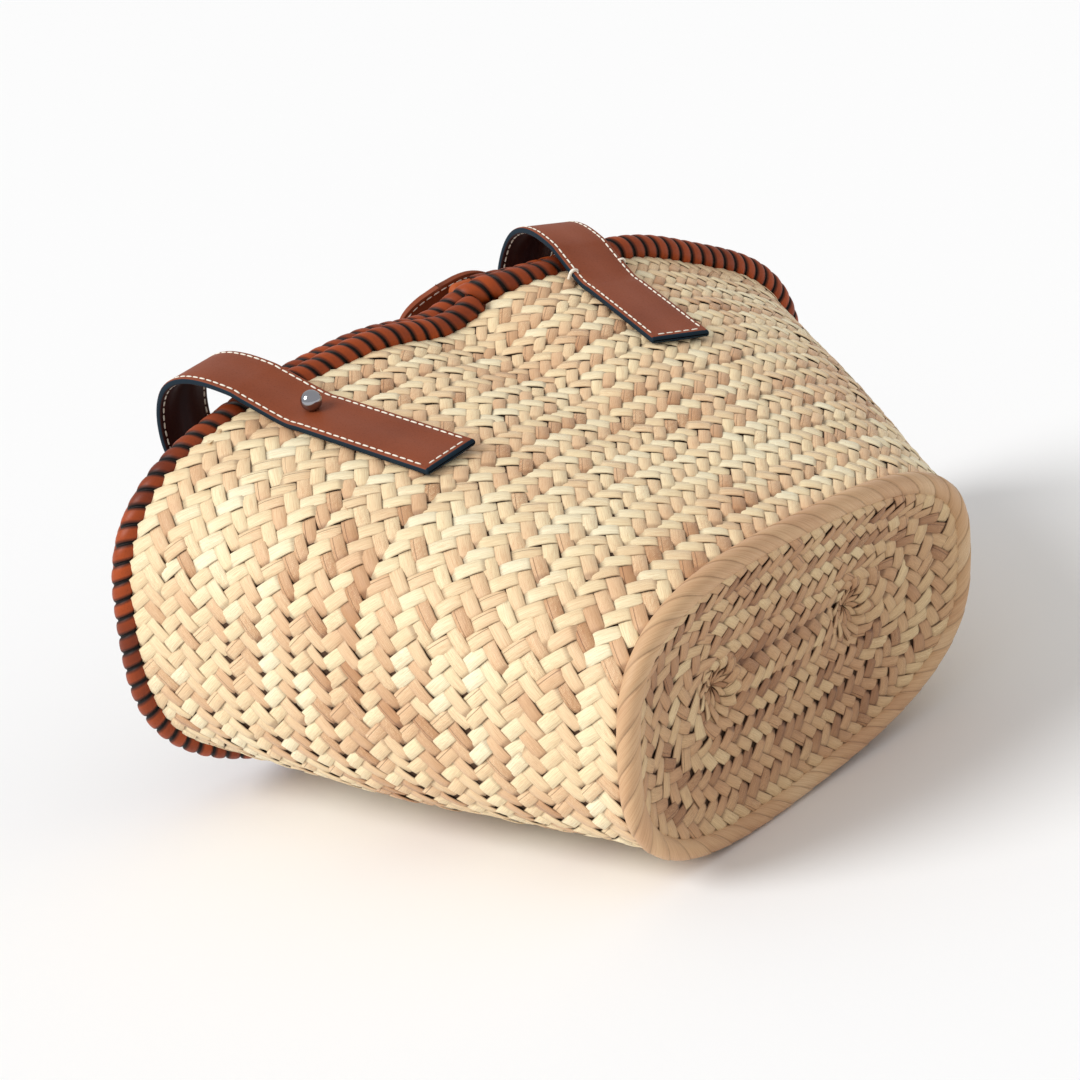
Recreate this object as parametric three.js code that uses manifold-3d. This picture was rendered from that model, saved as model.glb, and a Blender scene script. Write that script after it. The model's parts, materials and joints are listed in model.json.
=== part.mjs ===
// Straw basket bag lying on its back wall: flared plaited wall, oval base with a wrapped
// border, a leather-wrapped rope round the rim, and the folded straps that hold it.
// Millimetres, +Z up. X runs from the mouth (-X) to the base (+X), Y along the mouth.
import * as THREE from 'three';
import Module from 'manifold-3d';

const manifold = await Module();
manifold.setup();

// Driving sizes of the basket, each read off by itself.
const BASKET = {
  baseLength: 221,
  baseDepth: 109,
  mouthLength: 379,
  mouthDepth: 165,
  run: 221,
  slide: 30,
  wall: 3,
  rib: 0.7,
  braids: 14,
  baseTurn: 9.5,
  mouthTurn: 0.5,
  baseLean: 8.2,
  mouthLean: 5.5,
  rimLift: 9,
};

const BASE = { thickness: 3, hollow: 9, pipingDiameter: 9 };

const ROPE = { diameter: 12.5, sides: 10 };

const STRAP = {
  width: 28,
  thickness: 3,
  leftLegLength: 99,
  rightLegLength: 87,
  innerLegLength: 70,
  leftLoopReach: 57,
  rightLoopReach: 53,
  loopDrop: 46,
  leftAcross: -113,
  rightAcross: 65,
  leftTurn: 4,
  rightTurn: 0,
  backLeftAcross: -82,
  backLegLength: 74,
};

const STUD = { ball: 9, neck: 4, flange: 9, flangeThickness: 1.2, post: 3, setBack: 26 };

const FLAP = { width: 60, tipWidth: 46, across: 6, legLength: 50, reach: 38.5, drop: 17.5 };

// Running clearance between pieces that touch.
const GAP = 0.3;

// Steps round the basket, the same for every ring so that their flats line up.
const RING_COUNT = 54;

// Shape of the wall from the base (share 0) to the mouth (share 1). growth blends the base's
// sizes into the mouth's; the powers square off the upper and lower half of the oval; egg
// makes the +Y end thinner.
const SECTIONS = [
  { share: 0, growth: 0, upperPower: 3.0, lowerPower: 2.8, egg: -0.11 },
  { share: 0.25, growth: 0.265, upperPower: 2.95, lowerPower: 2.9, egg: -0.09 },
  { share: 0.5, growth: 0.52, upperPower: 2.9, lowerPower: 3.0, egg: -0.065 },
  { share: 0.75, growth: 0.765, upperPower: 2.85, lowerPower: 3.1, egg: -0.04 },
  { share: 1, growth: 1, upperPower: 2.8, lowerPower: 3.25, egg: -0.02 },
];

// Soft dents and swells of the plaited wall, centred at a share round the oval and a share
// along the wall. deep is a share of the mouth's depth, negative for a swell.
const DENTS = [
  { around: 0.262, along: 1.0, wide: 0.032, tall: 0.4, deep: 0.06 },
  { around: 0.335, along: 1.0, wide: 0.055, tall: 0.5, deep: 0.045 },
  { around: 0.085, along: 1.0, wide: 0.045, tall: 0.35, deep: 0.055 },
  { around: 0.42, along: 0.45, wide: 0.06, tall: 0.25, deep: -0.01 },
  { around: 0.6, along: 0.6, wide: 0.045, tall: 0.3, deep: -0.025 },
  { around: 0.26, along: 0.45, wide: 0.05, tall: 0.2, deep: 0.01 },
];

// Where the rope's centre lies beyond the rim's edge and outward of the wall, in rope
// diameters, at each share of a turn. Both ends are at the front middle.
const ROPE_ROUTE = [
  { turn: 0.239, beyond: 0.57, outward: 0.2 },
  { turn: 0.3, beyond: 0.57, outward: 0.18 },
  { turn: 0.345, beyond: 0.57, outward: 0.0 },
  { turn: 0.38, beyond: 0.57, outward: -0.1 },
  { turn: 0.42, beyond: 0.57, outward: -0.16 },
  { turn: 0.5, beyond: 0.57, outward: -0.08 },
  { turn: 0.56, beyond: 0.57, outward: 0.04 },
  { turn: 0.61, beyond: 0.57, outward: 0.14 },
  { turn: 0.645, beyond: 0.57, outward: -0.08 },
  { turn: 0.75, beyond: 0.57, outward: -0.06 },
  { turn: 0.9, beyond: 0.57, outward: 0.1 },
  { turn: 1.0, beyond: 0.57, outward: 0.2 },
  { turn: 1.1, beyond: 0.57, outward: 0.28 },
  { turn: 1.145, beyond: 0.57, outward: 0.3 },
  { turn: 1.165, beyond: 0.57, outward: 0.08 },
  { turn: 1.196, beyond: 0.57, outward: 0.0 },
  { turn: 1.216, beyond: 0.68, outward: 0.12 },
  { turn: 1.232, beyond: 1.05, outward: 0.24 },
  { turn: 1.25, beyond: 1.5, outward: 0.04 },
  { turn: 1.28, beyond: 1.58, outward: -0.14 },
  { turn: 1.34, beyond: 1.56, outward: -0.34 },
  { turn: 1.38, beyond: 1.42, outward: -0.66 },
  { turn: 1.42, beyond: 1.3, outward: -0.88 },
  { turn: 1.5, beyond: 1.3, outward: -0.82 },
  { turn: 1.56, beyond: 1.4, outward: -0.58 },
  { turn: 1.61, beyond: 1.52, outward: -0.3 },
  { turn: 1.645, beyond: 1.6, outward: -0.2 },
  { turn: 1.75, beyond: 1.66, outward: -0.06 },
  { turn: 1.9, beyond: 1.55, outward: -0.3 },
  { turn: 2.0, beyond: 1.4, outward: -0.5 },
  { turn: 2.1, beyond: 1.42, outward: -0.45 },
  { turn: 2.165, beyond: 1.5, outward: -0.46 },
  { turn: 2.198, beyond: 1.52, outward: -0.42 },
  { turn: 2.214, beyond: 1.66, outward: -0.36 },
  { turn: 2.23, beyond: 1.92, outward: -0.3 },
];

// Centre line of a front strap's loop: it runs on past the rim, drops and turns back in.
// In shares of the loop's reach beyond the rim and of its drop.
const FRONT_LOOP = [
  { beyond: 0.0, outward: 0.19 },
  { beyond: 0.13, outward: 0.22 },
  { beyond: 0.42, outward: 0.22 },
  { beyond: 0.66, outward: 0.16 },
  { beyond: 0.84, outward: 0.03 },
  { beyond: 0.95, outward: -0.17 },
  { beyond: 1.0, outward: -0.43 },
  { beyond: 0.98, outward: -0.7 },
  { beyond: 0.86, outward: -0.91 },
  { beyond: 0.65, outward: -1.0 },
  { beyond: 0.38, outward: -0.91 },
  { beyond: 0.14, outward: -0.65 },
  { beyond: 0.0, outward: -0.38 },
];

// The flap's centre line behind the rope, in shares of its reach and its drop.
const FLAP_LINE = [
  { beyond: 0.0, outward: -0.68 },
  { beyond: 0.34, outward: -0.95 },
  { beyond: 0.68, outward: -1.0 },
  { beyond: 0.92, outward: -0.74 },
  { beyond: 1.0, outward: -0.28 },
  { beyond: 1.0, outward: 0.03 },
];

// The loop of a strap that lies under the bag: its first run is flat on the ground.
const BACK_LOOP = [
  { beyond: 0.06, ground: 1 },
  { beyond: 0.3, ground: 1 },
  { beyond: 0.55, ground: 1 },
  { beyond: 0.78, ground: 1 },
  { beyond: 0.93, ground: 0.7 },
  { beyond: 1.0, ground: 0, outward: -0.06 },
  { beyond: 0.98, ground: 0, outward: -0.38 },
  { beyond: 0.82, ground: 0, outward: -0.6 },
  { beyond: 0.56, ground: 0, outward: -0.68 },
  { beyond: 0.3, ground: 0, outward: -0.58 },
  { beyond: 0.1, ground: 0, outward: -0.38 },
];

const COLOURS = {
  palm: { color: 0xe3c394, roughness: 0.75, metalness: 0 },
  palmStrip: { color: 0xd2a27c, roughness: 0.7, metalness: 0 },
  ropeLeather: { color: 0x8c3a1a, roughness: 0.42, metalness: 0 },
  strapLeather: { color: 0x7b4632, roughness: 0.55, metalness: 0 },
  steel: { color: 0xc9c9c9, roughness: 0.15, metalness: 1 },
};

const pipingRadius = BASE.pipingDiameter / 2;
const ropeRadius = ROPE.diameter / 2;
const halfWall = BASKET.wall / 2;
const halfStrap = STRAP.thickness / 2;
const degree = Math.PI / 180;
const mix = THREE.MathUtils.lerp;

// Value of one column of a table at a share, straight between its rows.
function column(table, key, name, at) {
  for (let i = 1; i < table.length; i += 1) {
    const before = table[i - 1];
    const after = table[i];
    if (at <= after[key] || i === table.length - 1) {
      const part = (at - before[key]) / (after[key] - before[key]);
      return mix(before[name], after[name], part);
    }
  }
  return table[0][name];
}

// One closed oval of the wall's middle surface at a share from base to mouth.
const ringCache = new Map();
function ring(share) {
  if (ringCache.has(share)) return ringCache.get(share);
  const growth = column(SECTIONS, 'share', 'growth', share);
  const halfLength = mix(BASKET.baseLength, BASKET.mouthLength, growth) / 2;
  const halfDepth = mix(BASKET.baseDepth, BASKET.mouthDepth, growth) / 2;
  const upperPower = column(SECTIONS, 'share', 'upperPower', share);
  const lowerPower = column(SECTIONS, 'share', 'lowerPower', share);
  const egg = column(SECTIONS, 'share', 'egg', share);
  const lean = mix(BASKET.baseLean, BASKET.mouthLean, share) * degree;
  const turn = mix(BASKET.baseTurn, BASKET.mouthTurn, share) * degree;
  const lift = mix(pipingRadius, BASKET.rimLift, share);
  const steps = 360;
  const points = [];
  let lowest = Infinity;
  for (let i = 0; i < steps; i += 1) {
    const angle = (i / steps) * 2 * Math.PI;
    const c = Math.cos(angle);
    const s = Math.sin(angle);
    const power = s < 0 ? lowerPower : upperPower;
    const radius = (Math.abs(c) ** power + Math.abs(s) ** power) ** (-1 / power);
    const y = halfLength * radius * c;
    const v = halfDepth * radius * s * (1 + (egg * y) / halfLength);
    const z = v * Math.cos(lean);
    lowest = Math.min(lowest, z);
    points.push(new THREE.Vector3(v * Math.sin(lean), y, z));
  }
  const spin = new THREE.Matrix4().makeRotationZ(turn);
  const centre = new THREE.Vector3(-BASKET.run * share, BASKET.slide * share, lift - lowest);
  for (const point of points) {
    point.applyMatrix4(spin).add(centre);
  }
  const lengths = [0];
  for (let i = 1; i <= steps; i += 1) {
    lengths.push(lengths[i - 1] + points[i - 1].distanceTo(points[i % steps]));
  }
  const made = { points, lengths, centre, total: lengths[steps] };
  ringCache.set(share, made);
  return made;
}

// How far the dents push the wall inward at a place on it.
function dent(around, share) {
  let depth = 0;
  for (const row of DENTS) {
    const turn = (((around - row.around + 0.5) % 1) + 1) % 1 - 0.5;
    const fall = Math.exp(-((turn / row.wide) ** 2) - ((share - row.along) / row.tall) ** 2);
    depth += row.deep * BASKET.mouthDepth * fall;
  }
  return depth;
}

// A point of the wall's middle surface, at equal steps round the oval. Share 0 is the base,
// around 0 the +Y end, 0.25 the top, 0.5 the -Y end and 0.75 the ground side.
function wallPoint(around, share) {
  const { points, lengths, centre, total } = ring(share);
  const wanted = (((around % 1) + 1) % 1) * total;
  let low = 0;
  let high = points.length;
  while (high - low > 1) {
    const middle = (low + high) >> 1;
    if (lengths[middle] <= wanted) low = middle;
    else high = middle;
  }
  const part = (wanted - lengths[low]) / (lengths[low + 1] - lengths[low]);
  const point = points[low].clone().lerp(points[(low + 1) % points.length], part);
  const inward = centre.clone().sub(point).normalize();
  return point.addScaledVector(inward, dent(around, share));
}

// Local directions on the wall: along runs towards the mouth, out leaves the bag.
function wallFrame(around, share) {
  const step = 0.004;
  const point = wallPoint(around, share);
  const low = Math.max(0, share - 0.05);
  const high = Math.min(1, share + 0.05);
  const along = wallPoint(around, high).sub(wallPoint(around, low)).normalize();
  const side = wallPoint(around + step, share).sub(wallPoint(around - step, share));
  const out = along.clone().cross(side).normalize();
  const across = out.clone().cross(along).normalize();
  return { point, along, out, across };
}

// Place on the wall's middle surface, moved out of it by a distance.
function offWall(around, share, distance) {
  const { point, out } = wallFrame(around, share);
  return point.addScaledVector(out, distance);
}

// Share round the mouth at a distance across it from its centre, on its upper or lower side.
function aroundAt(across, upper) {
  let best = 0;
  let bestMiss = Infinity;
  for (let i = 0; i <= 500; i += 1) {
    const around = (upper ? 0.02 : 0.52) + (i / 500) * 0.46;
    const miss = Math.abs(wallPoint(around, 1).y - BASKET.slide - across);
    if (miss < bestMiss) {
      best = around;
      bestMiss = miss;
    }
  }
  return best;
}

// A mesh geometry from a list of points and a list of triangles.
function solid(points, triangles) {
  const geometry = new THREE.BufferGeometry();
  const values = new Float32Array(points.length * 3);
  points.forEach((point, i) => point.toArray(values, i * 3));
  geometry.setAttribute('position', new THREE.BufferAttribute(values, 3));
  geometry.setIndex(triangles.flat());
  geometry.computeVertexNormals();
  return geometry;
}

// Joins rows of points, each row a closed ring of the same count, into a skin.
function skin(rows, closed, triangles) {
  const count = rows[0].length;
  const bands = closed ? rows.length : rows.length - 1;
  for (let r = 0; r < bands; r += 1) {
    const here = rows[r];
    const next = rows[(r + 1) % rows.length];
    for (let i = 0; i < count; i += 1) {
      const j = (i + 1) % count;
      triangles.push([here[i], here[j], next[j]], [here[i], next[j], next[i]]);
    }
  }
}

// Fills a flat end with a fan round its middle point.
function fan(points, row, reverse, triangles) {
  const middle = new THREE.Vector3();
  for (const index of row) middle.add(points[index]);
  middle.divideScalar(row.length);
  const hub = points.push(middle) - 1;
  for (let i = 0; i < row.length; i += 1) {
    const j = (i + 1) % row.length;
    triangles.push(reverse ? [hub, row[j], row[i]] : [hub, row[i], row[j]]);
  }
}

// Sweeps a cross-section through stations of { point, side, up }.
function sweep(stations, outline, closed) {
  const points = [];
  const rows = stations.map(({ point, side, up }) =>
    outline.map(([a, b]) => {
      const corner = point.clone().addScaledVector(side, a).addScaledVector(up, b);
      return points.push(corner) - 1;
    }),
  );
  const triangles = [];
  skin(rows, closed, triangles);
  if (!closed) {
    fan(points, rows[0], true, triangles);
    fan(points, rows[rows.length - 1], false, triangles);
  }
  return facingOut(solid(points, triangles));
}

// Turns a closed geometry's triangles outward if its volume comes out negative.
function facingOut(geometry) {
  const position = geometry.getAttribute('position');
  const index = geometry.getIndex().array;
  const a = new THREE.Vector3();
  const b = new THREE.Vector3();
  const c = new THREE.Vector3();
  let volume = 0;
  for (let i = 0; i < index.length; i += 3) {
    a.fromBufferAttribute(position, index[i]);
    b.fromBufferAttribute(position, index[i + 1]);
    c.fromBufferAttribute(position, index[i + 2]);
    volume += a.dot(b.cross(c));
  }
  if (volume < 0) {
    for (let i = 0; i < index.length; i += 3) {
      [index[i], index[i + 1]] = [index[i + 1], index[i]];
    }
    geometry.computeVertexNormals();
  }
  return geometry;
}

function circle(radius, sides) {
  return Array.from({ length: sides }, (_, i) => {
    const angle = (i / sides) * 2 * Math.PI;
    return [radius * Math.cos(angle), radius * Math.sin(angle)];
  });
}

function rectangle(width, height) {
  return [
    [-width / 2, -height / 2],
    [width / 2, -height / 2],
    [width / 2, height / 2],
    [-width / 2, height / 2],
  ];
}

function toManifold(geometry) {
  const position = geometry.getAttribute('position');
  const mesh = new manifold.Mesh({
    numProp: 3,
    vertProperties: new Float32Array(position.array),
    triVerts: new Uint32Array(geometry.getIndex().array),
  });
  mesh.merge();
  return new manifold.Manifold(mesh);
}

// Takes the second solid away from the first.
function cut(geometry, cutter) {
  const result = toManifold(geometry).subtract(toManifold(cutter)).getMesh();
  const made = new THREE.BufferGeometry();
  made.setAttribute('position', new THREE.BufferAttribute(new Float32Array(result.vertProperties), 3));
  made.setIndex([...result.triVerts]);
  made.computeVertexNormals();
  return made;
}

const wallHeight = wallPoint(0.25, 0).distanceTo(wallPoint(0.25, 1));
const wallStart = startBesidePiping();

// The share at which the wall clears the base border all the way round.
function startBesidePiping() {
  let share = 0;
  let nearest = 0;
  while (nearest < pipingRadius + 2 * GAP) {
    share += 0.0005;
    nearest = Infinity;
    for (let around = 0; around < 1; around += 0.04) {
      nearest = Math.min(nearest, wallPoint(around, share).distanceTo(wallPoint(around, 0)));
    }
  }
  return share;
}

// The plaited wall: a shallow rib for each braid row outside, plain inside.
function wallGeometry() {
  const count = RING_COUNT;
  const outerRows = BASKET.braids * 2;
  const innerRows = Math.ceil(BASKET.braids / 2);
  const points = [];
  const row = (share, distance) =>
    Array.from({ length: count }, (_, i) => points.push(offWall(i / count, share, distance)) - 1);
  const rows = [];
  for (let r = 0; r <= outerRows; r += 1) {
    const share = mix(wallStart, 1, r / outerRows);
    const valley = r % 2 === 0 ? BASKET.rib : 0;
    rows.push(row(share, halfWall - valley));
  }
  for (let r = innerRows; r >= 0; r -= 1) {
    rows.push(row(mix(wallStart, 1, r / innerRows), -halfWall));
  }
  const triangles = [];
  skin(rows, true, triangles);
  return facingOut(solid(points, triangles));
}

// Base plane: its outward direction and its oval with in-plane outward directions.
const baseNormal = new THREE.Vector3(Math.cos(BASKET.baseLean * degree), 0, -Math.sin(BASKET.baseLean * degree))
  .applyMatrix4(new THREE.Matrix4().makeRotationZ(BASKET.baseTurn * degree));

function baseEdge(count, inset) {
  return Array.from({ length: count }, (_, i) => {
    const around = i / count;
    const side = wallPoint(around + 0.004, 0).sub(wallPoint(around - 0.004, 0)).normalize();
    const outward = baseNormal.clone().cross(side).normalize();
    const point = wallPoint(around, 0);
    if (outward.dot(point.clone().sub(ring(0).centre)) < 0) outward.negate();
    return { point: point.addScaledVector(outward, -inset), side: outward, up: baseNormal };
  });
}

function pipingGeometry() {
  return sweep(baseEdge(RING_COUNT, 0), circle(pipingRadius, 10), true);
}

// The base sinks towards its middle in rings of these radius shares and depth shares.
const BASE_DISH = [
  { radius: 1, depth: 0 },
  { radius: 0.86, depth: 0.42 },
  { radius: 0.68, depth: 0.8 },
  { radius: 0.45, depth: 0.97 },
  { radius: 0.2, depth: 1 },
];

function basePanelGeometry() {
  const edge = baseEdge(RING_COUNT, pipingRadius + GAP).map(({ point }) => point);
  const centre = ring(0).centre;
  const points = [];
  const rows = [];
  const row = ({ radius, depth }, lift) =>
    edge.map((rim) => {
      const spot = centre.clone().lerp(rim, radius);
      return points.push(spot.addScaledVector(baseNormal, lift - depth * BASE.hollow)) - 1;
    });
  for (const dish of [...BASE_DISH].reverse()) rows.push(row(dish, BASE.thickness / 2));
  for (const dish of BASE_DISH) rows.push(row(dish, -BASE.thickness / 2));
  const triangles = [];
  skin(rows, false, triangles);
  fan(points, rows[0], true, triangles);
  fan(points, rows[rows.length - 1], false, triangles);
  return facingOut(solid(points, triangles));
}

// The rope's centre line, smoothed through its route.
function ropeCurve() {
  const first = ROPE_ROUTE[0].turn;
  const last = ROPE_ROUTE[ROPE_ROUTE.length - 1].turn;
  const guide = new THREE.CatmullRomCurve3(
    ROPE_ROUTE.map((row) => new THREE.Vector3(row.turn, row.beyond, row.outward)),
    false,
    'centripetal',
  );
  const count = Math.round((last - first) * 64);
  const points = [];
  for (let i = 0; i <= count; i += 1) {
    const { x: turn, y: beyond, z: outward } = guide.getPoint(i / count);
    const { point, along, out } = wallFrame(turn, 1);
    point.addScaledVector(along, beyond * ROPE.diameter);
    point.addScaledVector(out, outward * ROPE.diameter);
    points.push(point);
  }
  return new THREE.CatmullRomCurve3(points, false, 'centripetal');
}

function ropeGeometry() {
  const curve = ropeCurve();
  const count = 124;
  const stations = [];
  for (let i = 0; i <= count; i += 1) {
    const point = curve.getPointAt(i / count);
    const tangent = curve.getTangentAt(i / count);
    const side = tangent.clone().cross(new THREE.Vector3(1, 0, 0)).normalize();
    stations.push({ point, side, up: side.clone().cross(tangent).normalize() });
  }
  return sweep(stations, circle(ropeRadius, ROPE.sides), false);
}

// The straight frame that a strap is bent in: beyond leaves the rim, out leaves the wall.
function strapFrame(across, upper, turn = 0, stripWidth = STRAP.width) {
  const around = aroundAt(across, upper);
  const { point, along, out } = wallFrame(around, 1);
  if (!upper) {
    along.set(-1, 0, 0);
    out.set(0, 0, -1);
  }
  along.applyAxisAngle(out, turn * degree);
  const width = out.clone().cross(along).normalize();
  const step = wallPoint(around + 0.01, 1).sub(wallPoint(around - 0.01, 1));
  const turnSign = step.dot(width) > 0 ? -1 : 1;
  return { around, point, beyond: along, out, width, turnSign, stripWidth };
}

// The wall's place under a strap, at a distance to one side of the strap's middle.
function wallUnder(frame, share, sideways) {
  let around = frame.around;
  let offset = null;
  for (let i = 0; i < 4; i += 1) {
    offset = wallPoint(around, share).sub(frame.point);
    around += (frame.turnSign * (offset.dot(frame.width) - sideways)) / ring(share).total;
  }
  return offset;
}

// A leg's centre line: flat across, so it clears the wall's curve over its whole width.
function legPath(frame, legLength, side) {
  const near = STUD.setBack - STUD.flange / 2;
  const parts = [1, 0.82, 0.64, 0.48, 0.36];
  const down = parts.map((part) => part * legLength).filter((distance) => distance > near + STUD.flange);
  down.push(near + STUD.flange, near);
  return down.map((distance) => legSpot(frame, distance, side));
}

// Where a leg's middle lies at a distance down from the rim.
function legSpot(frame, down, side) {
  const share = 1 - down / wallHeight;
  const places = [-0.5, -0.25, 0, 0.25, 0.5].map((part) => part * frame.stripWidth);
  const under = places.map((place) => wallUnder(frame, share, place));
  const heights = under.map((offset) => side * offset.dot(frame.out));
  return new THREE.Vector2(under[2].dot(frame.beyond), side * (Math.max(...heights) + legOffset));
}

const legOffset = halfWall + 4.7 * GAP + halfStrap;

function loopPath(frame, upper, reach) {
  const ground = frame.point.z - halfStrap;
  return (upper ? FRONT_LOOP : BACK_LOOP).map((row) => {
    const free = (row.outward ?? 0) * STRAP.loopDrop;
    const outward = upper ? free : mix(free, ground, row.ground);
    return new THREE.Vector2(row.beyond * reach, outward);
  });
}

// Bends a flat leather strip along a line in the strap's frame. widthAt gives its width at
// each share of the line, ground the furthest it may reach outward.
function strip(frame, path, widthAt, ground) {
  const curve = new THREE.SplineCurve(path);
  const count = 50;
  const points = [];
  const rows = [];
  for (let i = 0; i <= count; i += 1) {
    const spot = curve.getPointAt(i / count);
    const heading = curve.getTangentAt(i / count);
    const point = frame.point
      .clone()
      .addScaledVector(frame.beyond, spot.x)
      .addScaledVector(frame.out, Math.min(spot.y, ground));
    const up = frame.out
      .clone()
      .multiplyScalar(heading.x)
      .addScaledVector(frame.beyond, -heading.y);
    const corners = rectangle(widthAt(i / count), STRAP.thickness);
    rows.push(
      corners.map(([a, b]) => {
        const corner = point.clone().addScaledVector(frame.width, a).addScaledVector(up, b);
        return points.push(corner) - 1;
      }),
    );
  }
  const triangles = [];
  skin(rows, false, triangles);
  fan(points, rows[0], true, triangles);
  fan(points, rows[rows.length - 1], false, triangles);
  return facingOut(solid(points, triangles));
}

function strapGeometry(frame, upper, legLength, reach) {
  const outer = legPath(frame, legLength, 1);
  const inner = legPath(frame, STRAP.innerLegLength, -1).reverse();
  const ground = upper ? Infinity : frame.point.z - halfStrap;
  const path = [...outer, ...loopPath(frame, upper, reach), ...inner];
  return strip(frame, path, () => STRAP.width, ground);
}

// The stitched flap that stands behind the rope, its foot inside the front wall.
function flapGeometry() {
  const frame = strapFrame(FLAP.across, true, 0, FLAP.width);
  const leg = legPath(frame, FLAP.legLength, -1);
  const rest = FLAP_LINE.map(
    (row) => new THREE.Vector2(row.beyond * FLAP.reach, row.outward * FLAP.drop),
  );
  const widthAt = (share) => mix(FLAP.width, FLAP.tipWidth, Math.max(0, (share - 0.85) / 0.15) ** 2);
  return strip(frame, [...leg, ...rest], widthAt, Infinity);
}

// Where the stud stands: its axis, and how far the strap's two faces are from the rim's line.
function studSeat(frame) {
  const outer = legSpot(frame, STUD.setBack, 1);
  const lower = legSpot(frame, STUD.setBack + 4, 1);
  const inner = legSpot(frame, STUD.setBack, -1);
  const tilt = Math.atan2(outer.y - lower.y, outer.x - lower.x);
  const depth = (outer.y - inner.y) * Math.cos(tilt);
  return { outer, tilt, depth };
}

// A lathe body on the Z axis. Height 0 is the middle of the strap's outer leg.
function studGeometry({ depth }) {
  const top = halfStrap + 2 * GAP;
  const bottom = -depth - halfStrap - 2 * GAP;
  const ballRadius = STUD.ball / 2;
  const neckTop = top + STUD.flangeThickness;
  const start = Math.asin(STUD.neck / STUD.ball);
  const ballCentre = neckTop + ballRadius * Math.cos(start);
  const profile = [
    [0, bottom - STUD.flangeThickness],
    [STUD.flange / 2, bottom - STUD.flangeThickness],
    [STUD.flange / 2, bottom],
    [STUD.post / 2, bottom],
    [STUD.post / 2, top],
    [STUD.flange / 2, top],
    [STUD.flange / 2, top + STUD.flangeThickness * 0.6],
    [STUD.neck / 2, neckTop],
  ];
  const rings = 6;
  for (let i = 1; i <= rings; i += 1) {
    const angle = mix(Math.PI - start, 0, i / rings);
    const radius = i === rings ? 0 : ballRadius * Math.sin(angle);
    profile.push([radius, ballCentre + ballRadius * Math.cos(angle)]);
  }
  const lathe = new THREE.LatheGeometry(profile.map(([r, h]) => new THREE.Vector2(r, h)), 16);
  return lathe.rotateX(Math.PI / 2);
}

// Places a shape made on the Z axis at the stud's seat on the strap.
function studMatrix(frame, { outer, tilt }) {
  const normal = frame.out.clone().multiplyScalar(Math.cos(tilt));
  normal.addScaledVector(frame.beyond, -Math.sin(tilt));
  const place = frame.point.clone();
  place.addScaledVector(frame.beyond, outer.x).addScaledVector(frame.out, outer.y);
  const side = frame.width.clone();
  const matrix = new THREE.Matrix4().makeBasis(side, normal.clone().cross(side), normal);
  return matrix.setPosition(place);
}

function part(name, geometry, look) {
  const mesh = new THREE.Mesh(geometry, new THREE.MeshStandardMaterial(look));
  mesh.name = name;
  return mesh;
}

const bag = new THREE.Group();
const leftFrame = strapFrame(STRAP.leftAcross, true, STRAP.leftTurn);
const rightFrame = strapFrame(STRAP.rightAcross, true, STRAP.rightTurn);
const seat = studSeat(leftFrame);
const studPlace = studMatrix(leftFrame, seat);
const studBody = studGeometry(seat).applyMatrix4(studPlace);
const holeRadius = (STUD.post / 2 + GAP) / Math.cos(Math.PI / 12);
const studHole = new THREE.CylinderGeometry(holeRadius, holeRadius, seat.depth * 2 + STRAP.thickness * 3, 12);
studHole.rotateX(Math.PI / 2).applyMatrix4(studPlace);

bag.add(part('basket_wall', cut(wallGeometry(), studHole), COLOURS.palm));
bag.add(part('base_panel', basePanelGeometry(), COLOURS.palm));
bag.add(part('base_piping', pipingGeometry(), COLOURS.palmStrip));
bag.add(part('handle_rope', ropeGeometry(), COLOURS.ropeLeather));
const leftStrap = strapGeometry(leftFrame, true, STRAP.leftLegLength, STRAP.leftLoopReach);
const rightStrap = strapGeometry(rightFrame, true, STRAP.rightLegLength, STRAP.rightLoopReach);
bag.add(part('front_strap_left', cut(leftStrap, studHole), COLOURS.strapLeather));
bag.add(part('front_strap_right', rightStrap, COLOURS.strapLeather));
const backStraps = [
  { name: 'back_strap_left', across: STRAP.backLeftAcross, reach: STRAP.leftLoopReach },
  { name: 'back_strap_right', across: STRAP.rightAcross, reach: STRAP.rightLoopReach },
];
for (const { name, across, reach } of backStraps) {
  const geometry = strapGeometry(strapFrame(across, false), false, STRAP.backLegLength, reach);
  bag.add(part(name, geometry, COLOURS.strapLeather));
}
bag.add(part('closing_flap', flapGeometry(), COLOURS.strapLeather));
bag.add(part('strap_stud', studBody, COLOURS.steel));

// The model stands on the ground with the middle of its box over the origin.
const box = new THREE.Box3().setFromObject(bag);
bag.position.set(-(box.min.x + box.max.x) / 2, -(box.min.y + box.max.y) / 2, -box.min.z);

export default bag;
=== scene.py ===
"""Straw basket bag lying on its back wall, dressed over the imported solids.

Plaited palm-leaf wall and base, a wrapped border, a leather-wrapped rope in two turns round
the mouth, folded and stitched straps, a flap and a ball stud. Sizes are in metres.
"""
import json
import logging
import math
from dataclasses import dataclass, field
from enum import Enum

import bmesh
import bpy
import numpy as np
from mathutils import Matrix, Vector

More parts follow.
